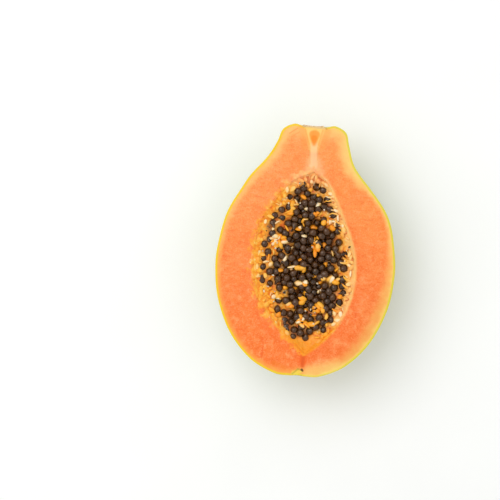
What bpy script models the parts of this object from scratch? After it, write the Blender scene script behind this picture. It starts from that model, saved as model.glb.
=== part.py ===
"""Half of a ripe papaya, cut lengthways through its seed cavity, lying on its round back.

The fruit's axis runs along Y with the stem end at +Y. The cut face is level and looks up along +Z.
The origin is the middle of the fruit's box, at the surface that the fruit lies on.
"""

import math
import random

import bmesh
import bpy
from mathutils import Euler, Matrix, Vector

# Driving dimensions, in metres
FRUIT_LENGTH = 0.177
BELLY_RADIUS = 0.0631
BACK_DEPTH = 0.0610
REST_FLAT_DEPTH = 0.0012
CAVITY_DEPTH = 0.0300
CAVITY_WIDTH = 0.0710
PULP_LEVEL = 0.0046
HEAP_DEPTH = 0.0054
HEAP_WIDTH = 0.0540
WALL_GAP = 0.0006
HEAP_GAP = 0.0004

CUT_HEIGHT = BACK_DEPTH - REST_FLAT_DEPTH
PULP_HEIGHT = CUT_HEIGHT - PULP_LEVEL

# The turned outline, from the stem scar to the blossom end: (share of the belly radius, share of the length)
OUTLINE = (
    (0.000, 0.008),
    (0.127, 0.007),
    (0.230, 0.000),
    (0.353, 0.024),
    (0.403, 0.076),
    (0.496, 0.149),
    (0.700, 0.242),
    (0.900, 0.358),
    (0.986, 0.491),
    (1.000, 0.593),
    (0.945, 0.717),
    (0.784, 0.847),
    (0.539, 0.945),
    (0.269, 0.994),
    (0.095, 1.000),
    (0.000, 0.996),
)

# The neck leans a little to the left of the axis, most at this station
NECK_LEAN = 0.0026
NECK_STATION = 0.055
NECK_LEAN_REACH = 0.015

# Five faint lobes run along the fruit, with a hollow between two of them at the middle of the back
LOBES = 5
LOBE_HEIGHT = 0.0006

# The cavity's rim in the cut face: (station, left edge, right edge), from the stem end down
CAVITY_RIM = (
    (0.0555, 0.0015, 0.0015),
    (0.0490, -0.0110, 0.0110),
    (0.0370, -0.0220, 0.0180),
    (0.0200, -0.0313, 0.0260),
    (0.0020, -0.0360, 0.0330),
    (-0.0160, -0.0358, 0.0350),
    (-0.0350, -0.0308, 0.0323),
    (-0.0520, -0.0180, 0.0245),
    (-0.0650, -0.0045, 0.0135),
    (-0.0725, 0.0040, 0.0040),
)
# The outline of the heap of seeds in the pulp, set down in the same way
HEAP_RIM = (
    (0.0495, 0.0040, 0.0040),
    (0.0450, -0.0040, 0.0105),
    (0.0380, -0.0130, 0.0155),
    (0.0285, -0.0210, 0.0195),
    (0.0175, -0.0250, 0.0236),
    (0.0060, -0.0215, 0.0275),
    (-0.0070, -0.0225, 0.0302),
    (-0.0210, -0.0212, 0.0308),
    (-0.0350, -0.0195, 0.0293),
    (-0.0480, -0.0150, 0.0245),
    (-0.0580, -0.0090, 0.0170),
    (-0.0650, 0.0010, 0.0010),
)
# A hollow: its rim, the height of its rim, its depth and width where it is widest, how its depth tapers
# with its width, and the powers that shape its left and right wall. Powers of 2 make an ellipse, lower ones
# slope like a dish, and higher ones are steep with a flat floor.
CAVITY = (CAVITY_RIM, CUT_HEIGHT, CAVITY_DEPTH, CAVITY_WIDTH, 0.8, (1.7, 1.35), (2.2, 2.0))
HEAP = (HEAP_RIM, PULP_HEIGHT, HEAP_DEPTH, HEAP_WIDTH, 0.5, (4.0, 4.0), (4.0, 4.0))

# The seeds: oval, a little longer than wide, in a heap that comes close to the cut face
SEED_RADII = (0.0031, 0.0028, 0.0027)
SEED_SPACING = 0.0047
SEED_LEVEL = 0.0037
SEED_LAYERS = 2
SEED_LAYER_STEP = 0.0019
FLAT_FLOOR = 0.85
SEED_DARTS = 7000
SEED_DRAW = 11
SWELL_HEIGHT = 0.0005
SWELL_ACROSS = 0.009
SWELL_ALONG = 0.013
SWELL_SHIFT = 0.7

# Tufts of pulp stand round the heap
TUFT_RADII = (0.0019, 0.0019, 0.0035)
TUFT_SPACING = 0.0040
TUFT_FROM_WALL = 0.0032
TUFT_FROM_HEAP = 0.0008
TUFT_LEAN = 0.4
TUFT_DARTS = 2500
TUFT_DRAW = 5

# Mesh fineness, as sides and rings
FRUIT_FINENESS = (44, 42)
CAVITY_FINENESS = (32, 28)
PULP_FINENESS = (26, 24)
HEAP_FINENESS = (20, 24)
SEED_SIDES = 6
SEED_RINGS = 4
MERGE_WITHIN = 1e-6


def at_share(points, share):
    """The point that lies a share of the way along a smooth curve through the given points."""
    points = [Vector(point) for point in points]
    place = share * (len(points) - 1)
    first = min(int(place), len(points) - 2)
    t = place - first
    ends = [2 * points[0] - points[1], *points, 2 * points[-1] - points[-2]]
    a, b, c, d = ends[first : first + 4]
    bend = (c - a) * t + (2 * a - 5 * b + 4 * c - d) * t**2 + (3 * b - a - 3 * c + d) * t**3
    return b + bend / 2


def between(rows, station):
    """The row of numbers at a station, from a list of rows that starts at the stem end."""
    for upper, lower in zip(rows, rows[1:]):
        if station >= lower[0]:
            share = (upper[0] - station) / (upper[0] - lower[0])
            share = min(max(share, 0), 1)
            return [high + (low - high) * share for high, low in zip(upper[1:], lower[1:])]
    return list(rows[-1][1:])


def material(name, colour, roughness):
    made = bpy.data.materials.new(name)
    made.use_nodes = True
    shader = made.node_tree.nodes["Principled BSDF"]
    shader.inputs["Base Color"].default_value = (*colour, 1)
    shader.inputs["Roughness"].default_value = roughness
    shader.inputs["Metallic"].default_value = 0
    made.diffuse_color = (*colour, 1)
    return made


def object_from(bm, name, collection):
    """A new object that holds the bmesh, which is freed."""
    mesh = bpy.data.meshes.new(name)
    bm.to_mesh(mesh)
    bm.free()
    made = bpy.data.objects.new(name, mesh)
    collection.objects.link(made)
    return made


def reshaped_sphere(sides, rings, point_of):
    """A bmesh sphere with its poles on Y. Each vertex moves to point_of(share of the way down, angle around)."""
    bm = bmesh.new()
    lying = Matrix.Rotation(math.radians(-90), 4, "X")
    bmesh.ops.create_uvsphere(bm, u_segments=sides, v_segments=rings, radius=1, matrix=lying)
    for vert in bm.verts:
        share = math.acos(min(max(vert.co.y, -1), 1)) / math.pi
        vert.co = point_of(share, math.atan2(-vert.co.z, vert.co.x))
    return bm


def fruit_point(share, angle):
    """A point of the whole fruit's skin. The angle is 0 at the right of the cut and goes round underneath."""
    radius, station = at_share(OUTLINE, share)
    radius = max(radius, 0) * BELLY_RADIUS
    y = (0.5 - station) * FRUIT_LENGTH
    lean = NECK_LEAN * math.exp(-(((y - NECK_STATION) / NECK_LEAN_REACH) ** 2))
    lobe = LOBE_HEIGHT * radius / BELLY_RADIUS * math.cos(LOBES * (angle - math.pi / 2)) * math.sin(angle)
    x = radius * math.cos(angle) - lean
    z = CUT_HEIGHT - (radius * BACK_DEPTH / BELLY_RADIUS - lobe) * math.sin(angle)
    return Vector((x, y, z))


def hollow_depth(hollow, width):
    """How far a hollow goes down below its rim where it is this wide."""
    _, _, deepest, widest, taper, _, _ = hollow
    return deepest * (width / widest) ** taper


def hollow_point(hollow, share, angle, clearance=0):
    """A point of a hollow's wall, drawn in by the clearance. The angle runs as it does on the skin."""
    rim, height, _, _, _, left_wall, right_wall = hollow
    station, left, right = at_share(rim, share)
    width = max(right - left, 0)
    side = math.cos(angle)
    across, down = right_wall if side > 0 else left_wall
    reach = max(width / 2 - clearance, 0)
    depth = max(hollow_depth(hollow, width) - clearance, 0)
    x = (left + right) / 2 + reach * math.copysign(abs(side) ** (2 / across), side)
    z = height - depth * math.copysign(abs(math.sin(angle)) ** (2 / down), angle)
    middle = (rim[0][0] + rim[-1][0]) / 2
    y = middle + (station - middle) * (1 - 2 * clearance / (rim[0][0] - rim[-1][0]))
    return Vector((x, y, z))


def hollow_body(name, collection, hollow, fineness, clearance=0, top=None):
    """A body that fills a hollow, cut level at its top if it has one."""
    bm = reshaped_sphere(*fineness, lambda share, angle: hollow_point(hollow, share, angle, clearance))
    bmesh.ops.remove_doubles(bm, verts=bm.verts, dist=MERGE_WITHIN)
    if top is not None:
        cut_level(bm, top, keep_above=False)
    bmesh.ops.recalc_face_normals(bm, faces=bm.faces)
    return object_from(bm, name, collection)


def cut_level(bm, height, keep_above):
    """Cuts bm level at a height, keeps one side of it, and closes the cut with one flat face."""
    outward = (0, 0, -1) if keep_above else (0, 0, 1)
    everything = [*bm.verts, *bm.edges, *bm.faces]
    bmesh.ops.bisect_plane(
        bm, geom=everything, dist=MERGE_WITHIN, plane_co=(0, 0, height), plane_no=outward, clear_outer=True
    )
    bmesh.ops.holes_fill(bm, edges=[edge for edge in bm.edges if edge.is_boundary])


def make_fruit(collection, cutters):
    """Skin and flesh grew as one piece: the whole fruit, cut in half, with the cavity hollowed out of it."""
    bm = reshaped_sphere(*FRUIT_FINENESS, fruit_point)
    cut_level(bm, CUT_HEIGHT, keep_above=False)
    cut_level(bm, 0, keep_above=True)
    bmesh.ops.recalc_face_normals(bm, faces=bm.faces)
    fruit = object_from(bm, "papaya_half", collection)
    fruit.data.materials.append(material("papaya flesh", (0.95, 0.28, 0.07), 0.45))

    cavity = hollow_body("seed cavity", cutters, CAVITY, CAVITY_FINENESS)
    cut_out(fruit, cavity)
    shade(fruit)


def cut_out(body, cutter):
    """Hollows the body by the cutter, which is kept as a guide."""
    cutter.hide_render = True
    cutter.display_type = "WIRE"
    hollow = body.modifiers.new(cutter.name, "BOOLEAN")
    hollow.operation = "DIFFERENCE"
    hollow.object = cutter
    hollow.solver = "EXACT"


def shade(body):
    body.data.shade_smooth()
    body.data.set_sharp_from_angle(angle=math.radians(40))


def swell(x, y):
    """How the heap of seeds rises and dips."""
    return SWELL_HEIGHT * math.sin(x / SWELL_ACROSS + SWELL_SHIFT) * math.cos(y / SWELL_ALONG)


def edges_at(hollow, y, drop):
    """The left and right edge of a hollow at a station, this far below its rim."""
    rim, _, _, _, _, left_wall, right_wall = hollow
    left, right = between(rim, y)
    depth = hollow_depth(hollow, right - left)
    edges = []
    for edge, (across, down) in ((left, left_wall), (right, right_wall)):
        sine = min(drop / depth, 1) ** (down / 2)
        edges.append((left + right) / 2 + (edge - (left + right) / 2) * (1 - sine**2) ** (1 / across))
    return edges


def seed_places():
    """Seeds fall at random inside the heap's outline. Each one stays at the highest layer where it clears
    the others and the heap's floor."""
    draw = random.Random(SEED_DRAW)
    longest = SEED_RADII[0]
    places = []
    for _ in range(SEED_DARTS):
        y = draw.uniform(HEAP_RIM[-1][0] + longest, HEAP_RIM[0][0] - longest)
        share = draw.random()
        turn = Euler([draw.uniform(0, math.tau) for _ in range(3)])
        stretch = [between(HEAP_RIM, y + reach) for reach in (-longest, 0, longest)]
        left = max(row[0] for row in stretch)
        right = min(row[1] for row in stretch)
        if right - left < 2 * longest:
            continue
        x = left + longest + (right - left - 2 * longest) * share
        floor = PULP_LEVEL + hollow_depth(HEAP, right - left) * FLAT_FLOOR
        for layer in range(SEED_LAYERS):
            drop = SEED_LEVEL + layer * SEED_LAYER_STEP - swell(x, y)
            spot = Vector((x, y, CUT_HEIGHT - drop))
            if drop + longest < floor and all((spot - other).length >= SEED_SPACING for other, _ in places):
                places.append((spot, turn))
                break
    return places


def tuft_places():
    """Tufts of pulp stand between the heap of seeds and the cavity's wall."""
    draw = random.Random(TUFT_DRAW)
    places = []
    for _ in range(TUFT_DARTS):
        y = draw.uniform(CAVITY_RIM[-1][0], CAVITY_RIM[0][0])
        share = draw.random()
        lean = Euler([draw.uniform(-TUFT_LEAN, TUFT_LEAN) for _ in range(3)])
        left, right = edges_at(CAVITY, y, PULP_LEVEL + TUFT_RADII[2] / 2)
        x = left + TUFT_FROM_WALL + (right - left - 2 * TUFT_FROM_WALL) * share
        if right - left < 2 * TUFT_FROM_WALL:
            continue
        spot = Vector((x, y, PULP_HEIGHT))
        in_heap = False
        if HEAP_RIM[-1][0] < y < HEAP_RIM[0][0]:
            heap_left, heap_right = between(HEAP_RIM, y)
            in_heap = heap_left - TUFT_FROM_HEAP < x < heap_right + TUFT_FROM_HEAP
        if not in_heap and all((spot - other).length >= TUFT_SPACING for other, _ in places):
            places.append((spot, lean))
    return places


def fuse(body, repeats):
    """Joins every object of the collection to the body, and removes the collection."""
    union = body.modifiers.new("fuse", "BOOLEAN")
    union.operation = "UNION"
    union.operand_type = "COLLECTION"
    union.collection = repeats
    union.solver = "EXACT"
    bpy.context.view_layer.update()
    body.data = bpy.data.meshes.new_from_object(body.evaluated_get(bpy.context.evaluated_depsgraph_get()))
    body.modifiers.clear()
    for spare in list(repeats.objects):
        bpy.data.objects.remove(spare)
    bpy.data.collections.remove(repeats)
    body.data.materials.clear()


def make_pulp(collection, cutters):
    """The pulp fills the cavity up to its own level, with tufts that stand out of it, and holds the seeds."""
    pulp = hollow_body("pulp", collection, CAVITY, PULP_FINENESS, WALL_GAP, PULP_HEIGHT)
    tufts = bpy.data.collections.new("tufts")
    bpy.context.scene.collection.children.link(tufts)
    for number, (spot, lean) in enumerate(tuft_places()):
        bm = bmesh.new()
        place = Matrix.LocRotScale(spot, lean, TUFT_RADII)
        bmesh.ops.create_icosphere(bm, subdivisions=1, radius=1, matrix=place)
        object_from(bm, f"tuft_{number}", tufts)
    print(len(tufts.objects), "tufts of pulp")
    fuse(pulp, tufts)
    pulp.data.materials.append(material("papaya pulp", (0.92, 0.42, 0.07), 0.4))
    cut_out(pulp, hollow_body("heap of seeds", cutters, HEAP, HEAP_FINENESS))
    shade(pulp)


def make_seeds(collection):
    """The seeds stick to each other in one heap, so they stand out of a low core that lies in the pulp."""
    seeds = hollow_body("seeds", collection, HEAP, HEAP_FINENESS, HEAP_GAP, PULP_HEIGHT - HEAP_GAP)
    repeats = bpy.data.collections.new("single seeds")
    bpy.context.scene.collection.children.link(repeats)
    for number, (spot, turn) in enumerate(seed_places()):
        bm = bmesh.new()
        place = Matrix.LocRotScale(spot, turn, SEED_RADII)
        bmesh.ops.create_uvsphere(bm, u_segments=SEED_SIDES, v_segments=SEED_RINGS, radius=1, matrix=place)
        object_from(bm, f"seed_{number}", repeats)
    print(len(repeats.objects), "seeds")
    fuse(seeds, repeats)
    seeds.data.materials.append(material("papaya seeds", (0.045, 0.028, 0.018), 0.35))
    shade(seeds)


def main():
    for leftover in list(bpy.data.objects):
        bpy.data.objects.remove(leftover)
    collection = bpy.data.collections.new("papaya half")
    cutters = bpy.data.collections.new("cutters")
    bpy.context.scene.collection.children.link(collection)
    bpy.context.scene.collection.children.link(cutters)
    make_fruit(collection, cutters)
    make_pulp(collection, cutters)
    make_seeds(collection)


main()
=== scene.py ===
# %% [markdown]
# # Half a ripe papaya
# The fruit was cut lengthways and lies on its round back, so its cut face looks up at the camera. We start
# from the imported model, which gives the fruit its size and place. Every piece that is made below is fitted
# to it, and takes the place of one of its plain solids.

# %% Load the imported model
import math
import random

import bmesh
import bpy
import numpy
from mathutils import Euler, Matrix, Vector


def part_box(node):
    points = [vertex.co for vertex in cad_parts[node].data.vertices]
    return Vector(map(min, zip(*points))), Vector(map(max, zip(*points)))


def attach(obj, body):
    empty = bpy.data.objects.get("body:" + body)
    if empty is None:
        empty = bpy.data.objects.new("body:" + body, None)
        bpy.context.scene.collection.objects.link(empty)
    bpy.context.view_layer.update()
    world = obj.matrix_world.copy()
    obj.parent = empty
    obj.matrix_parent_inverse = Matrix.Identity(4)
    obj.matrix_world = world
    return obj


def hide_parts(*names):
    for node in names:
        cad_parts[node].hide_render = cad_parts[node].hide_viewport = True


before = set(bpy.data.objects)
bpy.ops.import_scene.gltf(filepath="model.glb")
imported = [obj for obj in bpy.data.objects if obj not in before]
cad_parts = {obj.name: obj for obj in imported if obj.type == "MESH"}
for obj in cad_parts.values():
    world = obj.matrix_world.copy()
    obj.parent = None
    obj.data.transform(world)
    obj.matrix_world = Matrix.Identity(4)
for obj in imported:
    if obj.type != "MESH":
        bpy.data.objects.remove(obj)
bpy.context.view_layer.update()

_, fruit_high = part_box("papaya_half")

# %% [markdown]
# # Measures
# All lengths are in metres. The fruit's axis runs along Y, with the stem end at +Y, and the cut face is
# level. The outline and the cavity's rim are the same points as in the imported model, so the fine pieces
# have the same form as the plain ones.

# %% The measures of the fruit
CUT_HEIGHT = fruit_high.z
FRUIT_LENGTH = 0.177
BELLY_RADIUS = 0.0631
BACK_DEPTH = 0.0610
CAVITY_DEPTH = 0.0300
CAVITY_WIDTH = 0.0710
PULP_LEVEL = 0.0046
HEAP_DEPTH = 0.0054
HEAP_WIDTH = 0.0540

# (share of the belly radius, share of the length from the stem end)
OUTLINE = (
    (0.000, 0.008),
    (0.127, 0.007),
    (0.230, 0.000),
    (0.353, 0.024),
    (0.403, 0.076),
    (0.496, 0.149),
    (0.700, 0.242),
    (0.900, 0.358),
    (0.986, 0.491),
    (1.000, 0.593),
    (0.945, 0.717),
    (0.784, 0.847),
    (0.539, 0.945),
    (0.269, 0.994),
    (0.095, 1.000),
    (0.000, 0.996),
)
NECK_LEAN = 0.0026
NECK_STATION = 0.055
NECK_LEAN_REACH = 0.015
LOBES = 5
LOBE_HEIGHT = 0.0006

# (station along Y, left edge, right edge)
CAVITY_RIM = (
    (0.0555, 0.0015, 0.0015),
    (0.0490, -0.0110, 0.0110),
    (0.0370, -0.0220, 0.0180),
    (0.0200, -0.0313, 0.0260),
    (0.0020, -0.0360, 0.0330),
    (-0.0160, -0.0358, 0.0350),
    (-0.0350, -0.0308, 0.0323),
    (-0.0520, -0.0180, 0.0245),
    (-0.0650, -0.0045, 0.0135),
    (-0.0725, 0.0040, 0.0040),
)
HEAP_RIM = (
    (0.0495, 0.0040, 0.0040),
    (0.0450, -0.0040, 0.0105),
    (0.0380, -0.0130, 0.0155),
    (0.0285, -0.0210, 0.0195),
    (0.0175, -0.0250, 0.0236),
    (0.0060, -0.0215, 0.0275),
    (-0.0070, -0.0225, 0.0302),
    (-0.0210, -0.0212, 0.0308),
    (-0.0350, -0.0195, 0.0293),
    (-0.0480, -0.0150, 0.0245),
    (-0.0580, -0.0090, 0.0170),
    (-0.0650, 0.0010, 0.0010),
)
# The powers that shape a wall: (across, down). Lower powers slope like a dish, higher ones are steep.
LEFT_WALL = (1.7, 1.35)
RIGHT_WALL = (2.2, 2.0)
DEPTH_TAPER = 0.8
print("the fruit is", FRUIT_LENGTH, "long and its cavity is", CAVITY_WIDTH, "wide")


# %% Curves through the measures
def at_share(points, share):
    """The point that lies a share of the way along a smooth curve through the given points."""
    points = [Vector(point) for point in points]
    place = share * (len(points) - 1)
    first = min(int(place), len(points) - 2)
    t = place - first
    ends = [2 * points[0] - points[1], *points, 2 * points[-1] - points[-2]]
    a, b, c, d = ends[first : first + 4]
    bend = (c - a) * t + (2 * a - 5 * b + 4 * c - d) * t**2 + (3 * b - a - 3 * c + d) * t**3
    return b + bend / 2


def between(rows, station):
    """The row of numbers at a station, from a list of rows that starts at the stem end."""
    for upper, lower in zip(rows, rows[1:]):
        if station >= lower[0]:
            share = (upper[0] - station) / (upper[0] - lower[0])
            share = min(max(share, 0), 1)
            return [high + (low - high) * share for high, low in zip(upper[1:], lower[1:])]
    return list(rows[-1][1:])


def neck_lean(y):
    return NECK_LEAN * math.exp(-(((y - NECK_STATION) / NECK_LEAN_REACH) ** 2))


print("half way down, the outline is at", [round(part, 3) for part in at_share(OUTLINE, 0.5)])

# %% [markdown]
# # The camera
# The photograph looks almost straight at the cut face, from far off, so the fruit shows no strong
# perspective. A long lens at about a metre gives that view. The fruit leans a little to the right in the
# picture, so it is the camera that is rolled, and the fruit stays level.

# %% Place the camera
IMAGE_WIDTH = 500
METRES_PER_PIXEL = 0.000703
FRUIT_PIXEL = (306, 250.5)
LENS = 100
SENSOR = 36
ROLL = math.radians(4.17)
TILT = math.radians(4.0)

picture_up = Vector((-math.sin(ROLL), math.cos(ROLL), 0))
flat_right = Vector((math.cos(ROLL), math.sin(ROLL), 0))
picture_right = flat_right * math.cos(TILT) - Vector((0, 0, math.sin(TILT)))
towards_camera = flat_right * math.sin(TILT) + Vector((0, 0, math.cos(TILT)))
distance = METRES_PER_PIXEL * IMAGE_WIDTH * LENS / SENSOR
aside = (IMAGE_WIDTH / 2 - FRUIT_PIXEL[0]) * METRES_PER_PIXEL
raised = (FRUIT_PIXEL[1] - IMAGE_WIDTH / 2) * METRES_PER_PIXEL
cut_middle = Vector((0, 0, CUT_HEIGHT))
aim = cut_middle + picture_right * aside + picture_up * raised

bpy.ops.object.camera_add(location=aim + towards_camera * distance)
camera = bpy.context.object
camera.data.lens = LENS
camera.data.sensor_width = SENSOR
camera.rotation_euler = Matrix((picture_right, picture_up, towards_camera)).transposed().to_euler()
bpy.context.scene.camera = camera
print("the camera is", round(distance, 3), "m from the cut face")

# %% [markdown]
# # Light and floor
# The photograph was taken on a white table in soft daylight. A pale floor, a white sky and one large
# softbox from the upper left give the same bright look, with one soft shadow to the lower right.


# %% A colour from its sRGB code
def linear(code):
    """Turns an sRGB hex code into the linear colour that Blender's nodes read."""
    parts = [int(code[start : start + 2], 16) / 255 for start in (1, 3, 5)]
    return (*[part / 12.92 if part <= 0.04045 else ((part + 0.055) / 1.055) ** 2.4 for part in parts], 1)


print("papaya orange is", [round(part, 3) for part in linear("#fb944f")])


# %% One way to add a node
def add(tree, kind, inputs=None, stops=(), **settings):
    """Adds a node with its settings. An input is given a value, a node or one of a node's outputs."""
    node = tree.nodes.new(kind)
    for name, value in settings.items():
        setattr(node, name, value)
    for place, value in (inputs or {}).items():
        if isinstance(value, bpy.types.Node):
            value = value.outputs[0]
        if isinstance(value, bpy.types.NodeSocket):
            tree.links.new(value, node.inputs[place])
        else:
            node.inputs[place].default_value = value
    for number, (place, value) in enumerate(stops):
        if number > 1:
            node.color_ramp.elements.new(place)
        node.color_ramp.elements[number].position = place
        node.color_ramp.elements[number].color = value
    return node


def new_material(name, roughness, ior, **constants):
    """A material whose shader has these constants. Returns it, its tree, its shader and its place."""
    made = bpy.data.materials.new(name)
    made.use_nodes = True
    tree = made.node_tree
    tree.nodes.clear()
    inputs = {"Roughness": roughness, "IOR": ior}
    inputs.update({name.replace("_", " "): value for name, value in constants.items()})
    shader = add(tree, "ShaderNodeBsdfPrincipled", inputs)
    add(tree, "ShaderNodeOutputMaterial", {"Surface": shader})
    place = add(tree, "ShaderNodeTexCoord").outputs["Object"]
    return made, tree, shader, place


print("materials are built from nodes")

# %% The studio
FLOOR_SIZE = 6
FLOOR_CLOUDS_PER_METRE = 9
SKY_STRENGTH = 0.79
LAMP_PLACE = Vector((-0.36, 0.34, 1.05))
LAMP_SIZE = 0.85
LAMP_WATTS = 4.9

bpy.context.scene.view_settings.view_transform = "Standard"
world = bpy.data.worlds.new("white studio")
world.use_nodes = True
world.node_tree.nodes["Background"].inputs["Color"].default_value = linear("#ffffff")
world.node_tree.nodes["Background"].inputs["Strength"].default_value = SKY_STRENGTH
bpy.context.scene.world = world

bpy.ops.object.light_add(type="AREA", location=LAMP_PLACE)
lamp = bpy.context.object
lamp.name = "softbox"
lamp.data.size = LAMP_SIZE
lamp.data.energy = LAMP_WATTS
lamp.rotation_euler = (cut_middle - LAMP_PLACE).to_track_quat("-Z", "Y").to_euler()

bpy.ops.mesh.primitive_plane_add(size=FLOOR_SIZE)
floor = bpy.context.object
floor.name = "pale_floor"
paper, tree, shader, place = new_material("matt white paper", 0.9, 1.45)
grain = add(tree, "ShaderNodeTexNoise", {"Vector": place, "Scale": FLOOR_CLOUDS_PER_METRE, "Detail": 2})
tone = add(
    tree,
    "ShaderNodeValToRGB",
    {"Fac": grain},
    stops=((0.3, linear("#fafbf9")), (0.7, linear("#fdfefc"))),
)
tree.links.new(tone.outputs[0], shader.inputs["Base Color"])
floor.data.materials.append(paper)
print("the softbox gives", LAMP_WATTS, "watts")

# %% [markdown]
# # Shaping a fruit by hand
# A papaya is close to a sphere that has been pulled long and pinched into a neck. So we start from half a
# ball whose poles are the stem end and the blossom end. Its meridians run from pole to pole and its rings
# run round it. Scaling one meridian at a time makes the lobes, and scaling and moving one ring at a time
# makes the outline. Both are the transforms that a modeller uses by hand.


# %% Select by place
# Points closer together than this are one point
SAME_PLACE = 1e-6
# A point no further than this from a plane lies on it
ON_PLANE = 1e-5


def only(piece):
    """Makes an object the active one, and the only one that is selected."""
    bpy.ops.object.select_all(action="DESELECT")
    piece.select_set(True)
    bpy.context.view_layer.objects.active = piece


def join(piece, others):
    """Joins other objects into a piece."""
    only(piece)
    for other in others:
        other.select_set(True)
    bpy.ops.object.join()


def start_edit(piece):
    only(piece)
    bpy.ops.object.mode_set(mode="EDIT")


def select_verts(piece, chosen):
    """Selects the vertices whose index is chosen, in edit mode."""
    bm = bmesh.from_edit_mesh(piece.data)
    for vert in bm.verts:
        vert.select = bool(chosen[vert.index])
    bm.select_flush(True)
    bm.select_flush(False)
    bmesh.update_edit_mesh(piece.data, loop_triangles=False, destructive=False)


def select_edges(piece, test):
    """Selects the edges that pass the test, in edit mode, and says how many there are."""
    bpy.ops.mesh.select_mode(type="EDGE")
    bm = bmesh.from_edit_mesh(piece.data)
    count = 0
    for edge in bm.edges:
        edge.select = bool(test(edge))
        count += edge.select
    bm.select_flush_mode()
    bmesh.update_edit_mesh(piece.data, loop_triangles=False, destructive=False)
    return count


def vertex_places(piece):
    """The places of an object's vertices, as rows of an array."""
    flat = numpy.empty(len(piece.data.vertices) * 3)
    piece.data.vertices.foreach_get("co", flat)
    return flat.reshape(-1, 3)


print("edges and vertices are chosen by their place")


# %% Half a ball, shaped by meridians and rings
def half_ball(name, sides, rings):
    """Half a ball of radius 1, open at the top, with its poles on Y. The left and right half of its rim are
    marked as seam and as sharp, so that they can be found again."""
    lying = (-math.pi / 2, 0, 0)
    bpy.ops.mesh.primitive_uv_sphere_add(segments=sides, ring_count=rings, radius=1, rotation=lying)
    piece = bpy.context.object
    piece.name = name
    piece.data.name = name
    bpy.ops.object.transform_apply(location=False, rotation=True, scale=False)
    start_edit(piece)
    bpy.ops.mesh.select_mode(type="VERT")
    select_verts(piece, vertex_places(piece)[:, 2] > ON_PLANE)
    bpy.ops.mesh.delete(type="VERT")
    select_edges(piece, lambda edge: edge.is_boundary and sum(vert.co.x for vert in edge.verts) < 0)
    bpy.ops.mesh.mark_seam()
    select_edges(piece, lambda edge: edge.is_boundary and sum(vert.co.x for vert in edge.verts) > 0)
    bpy.ops.mesh.mark_sharp()
    bpy.ops.mesh.select_mode(type="VERT")
    bpy.ops.object.mode_set(mode="OBJECT")
    return piece


def shape_ball(piece, sides, rings, meridian_scale, ring_shape, top=CUT_HEIGHT):
    """Scales each meridian by meridian_scale(angle), as (across, down), and each ring by ring_shape(share),
    as (middle of x, station, half width, depth). The rim ends at the height of the top."""
    places = vertex_places(piece)
    ring_of = numpy.rint(numpy.arccos(numpy.clip(places[:, 1], -1, 1)) / math.pi * rings).astype(int)
    angle_of = numpy.arctan2(-places[:, 2], places[:, 0])
    meridian_of = numpy.rint(angle_of / math.tau * sides).astype(int)
    pole = (ring_of == 0) | (ring_of == rings)
    start_edit(piece)
    for meridian in range(sides // 2 + 1):
        across, down = meridian_scale(meridian * math.tau / sides)
        select_verts(piece, (meridian_of == meridian) & ~pole)
        bpy.ops.transform.resize(value=(across, 1, down), center_override=(0, 0, 0))
    for ring in range(rings + 1):
        middle, station, reach, depth = ring_shape(ring / rings)
        height = math.cos(ring * math.pi / rings)
        round_size = math.sin(ring * math.pi / rings)
        select_verts(piece, ring_of == ring)
        if 0 < ring < rings:
            grown = (reach / round_size, 1, depth / round_size)
            bpy.ops.transform.resize(value=grown, center_override=(0, height, 0))
        bpy.ops.transform.translate(value=(middle, station - height, top))
    bpy.ops.object.mode_set(mode="OBJECT")


print("a half ball has its poles at the two ends of the fruit")

# %% [markdown]
# # The skin side of the fruit
# Five faint lobes run along a papaya, because it grows from five parts of the flower. On a half that is
# cut through the middle they show as a soft change in the round back. The belly is flattened where the
# fruit lies.

# %% The outer half
FRUIT_SIDES = 144
FRUIT_RINGS = 112


def lobed(angle):
    lobe = LOBE_HEIGHT * math.cos(LOBES * (angle - math.pi / 2)) * math.sin(angle)
    return 1, (BACK_DEPTH - lobe) / BELLY_RADIUS


def outer_ring(share):
    radius, station = at_share(OUTLINE, share)
    radius = max(radius, 0) * BELLY_RADIUS
    y = (0.5 - station) * FRUIT_LENGTH
    return -neck_lean(y), y, radius, radius


fruit = half_ball("papaya_flesh_and_peel", FRUIT_SIDES, FRUIT_RINGS)
shape_ball(fruit, FRUIT_SIDES, FRUIT_RINGS, lobed, outer_ring)
start_edit(fruit)
select_verts(fruit, vertex_places(fruit)[:, 2] < 0)
bpy.ops.transform.resize(value=(1, 1, 0), center_override=(0, 0, 0))
bpy.ops.object.mode_set(mode="OBJECT")
print("the outer half has", len(fruit.data.polygons), "faces")

# %% [markdown]
# # The seed cavity
# The cavity is a hollow with its own outline. Its left wall slopes like a dish and its right wall is
# steep. The same two kinds of scaling shape it.


# %% The cavity's wall
# The powers below would have no value at 0
LEAST_SHARE = 1e-3


def walls(left_wall, right_wall):
    """How the meridians of a hollow are scaled, so that its section gets sloping or steep walls."""

    def scale_at(angle):
        across, down = right_wall if angle < math.pi / 2 else left_wall
        side = max(abs(math.cos(angle)), LEAST_SHARE)
        depth = max(abs(math.sin(angle)), LEAST_SHARE)
        return side ** (2 / across - 1), depth ** (2 / down - 1)

    return scale_at


def cavity_ring(share):
    station, left, right = at_share(CAVITY_RIM, share)
    width = max(right - left, 0)
    depth = CAVITY_DEPTH * (width / CAVITY_WIDTH) ** DEPTH_TAPER
    return (left + right) / 2, station, width / 2, depth


cavity = half_ball("cavity wall", FRUIT_SIDES, FRUIT_RINGS)
shape_ball(cavity, FRUIT_SIDES, FRUIT_RINGS, walls(LEFT_WALL, RIGHT_WALL), cavity_ring)
print("the cavity's wall has", len(cavity.data.polygons), "faces")

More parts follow.
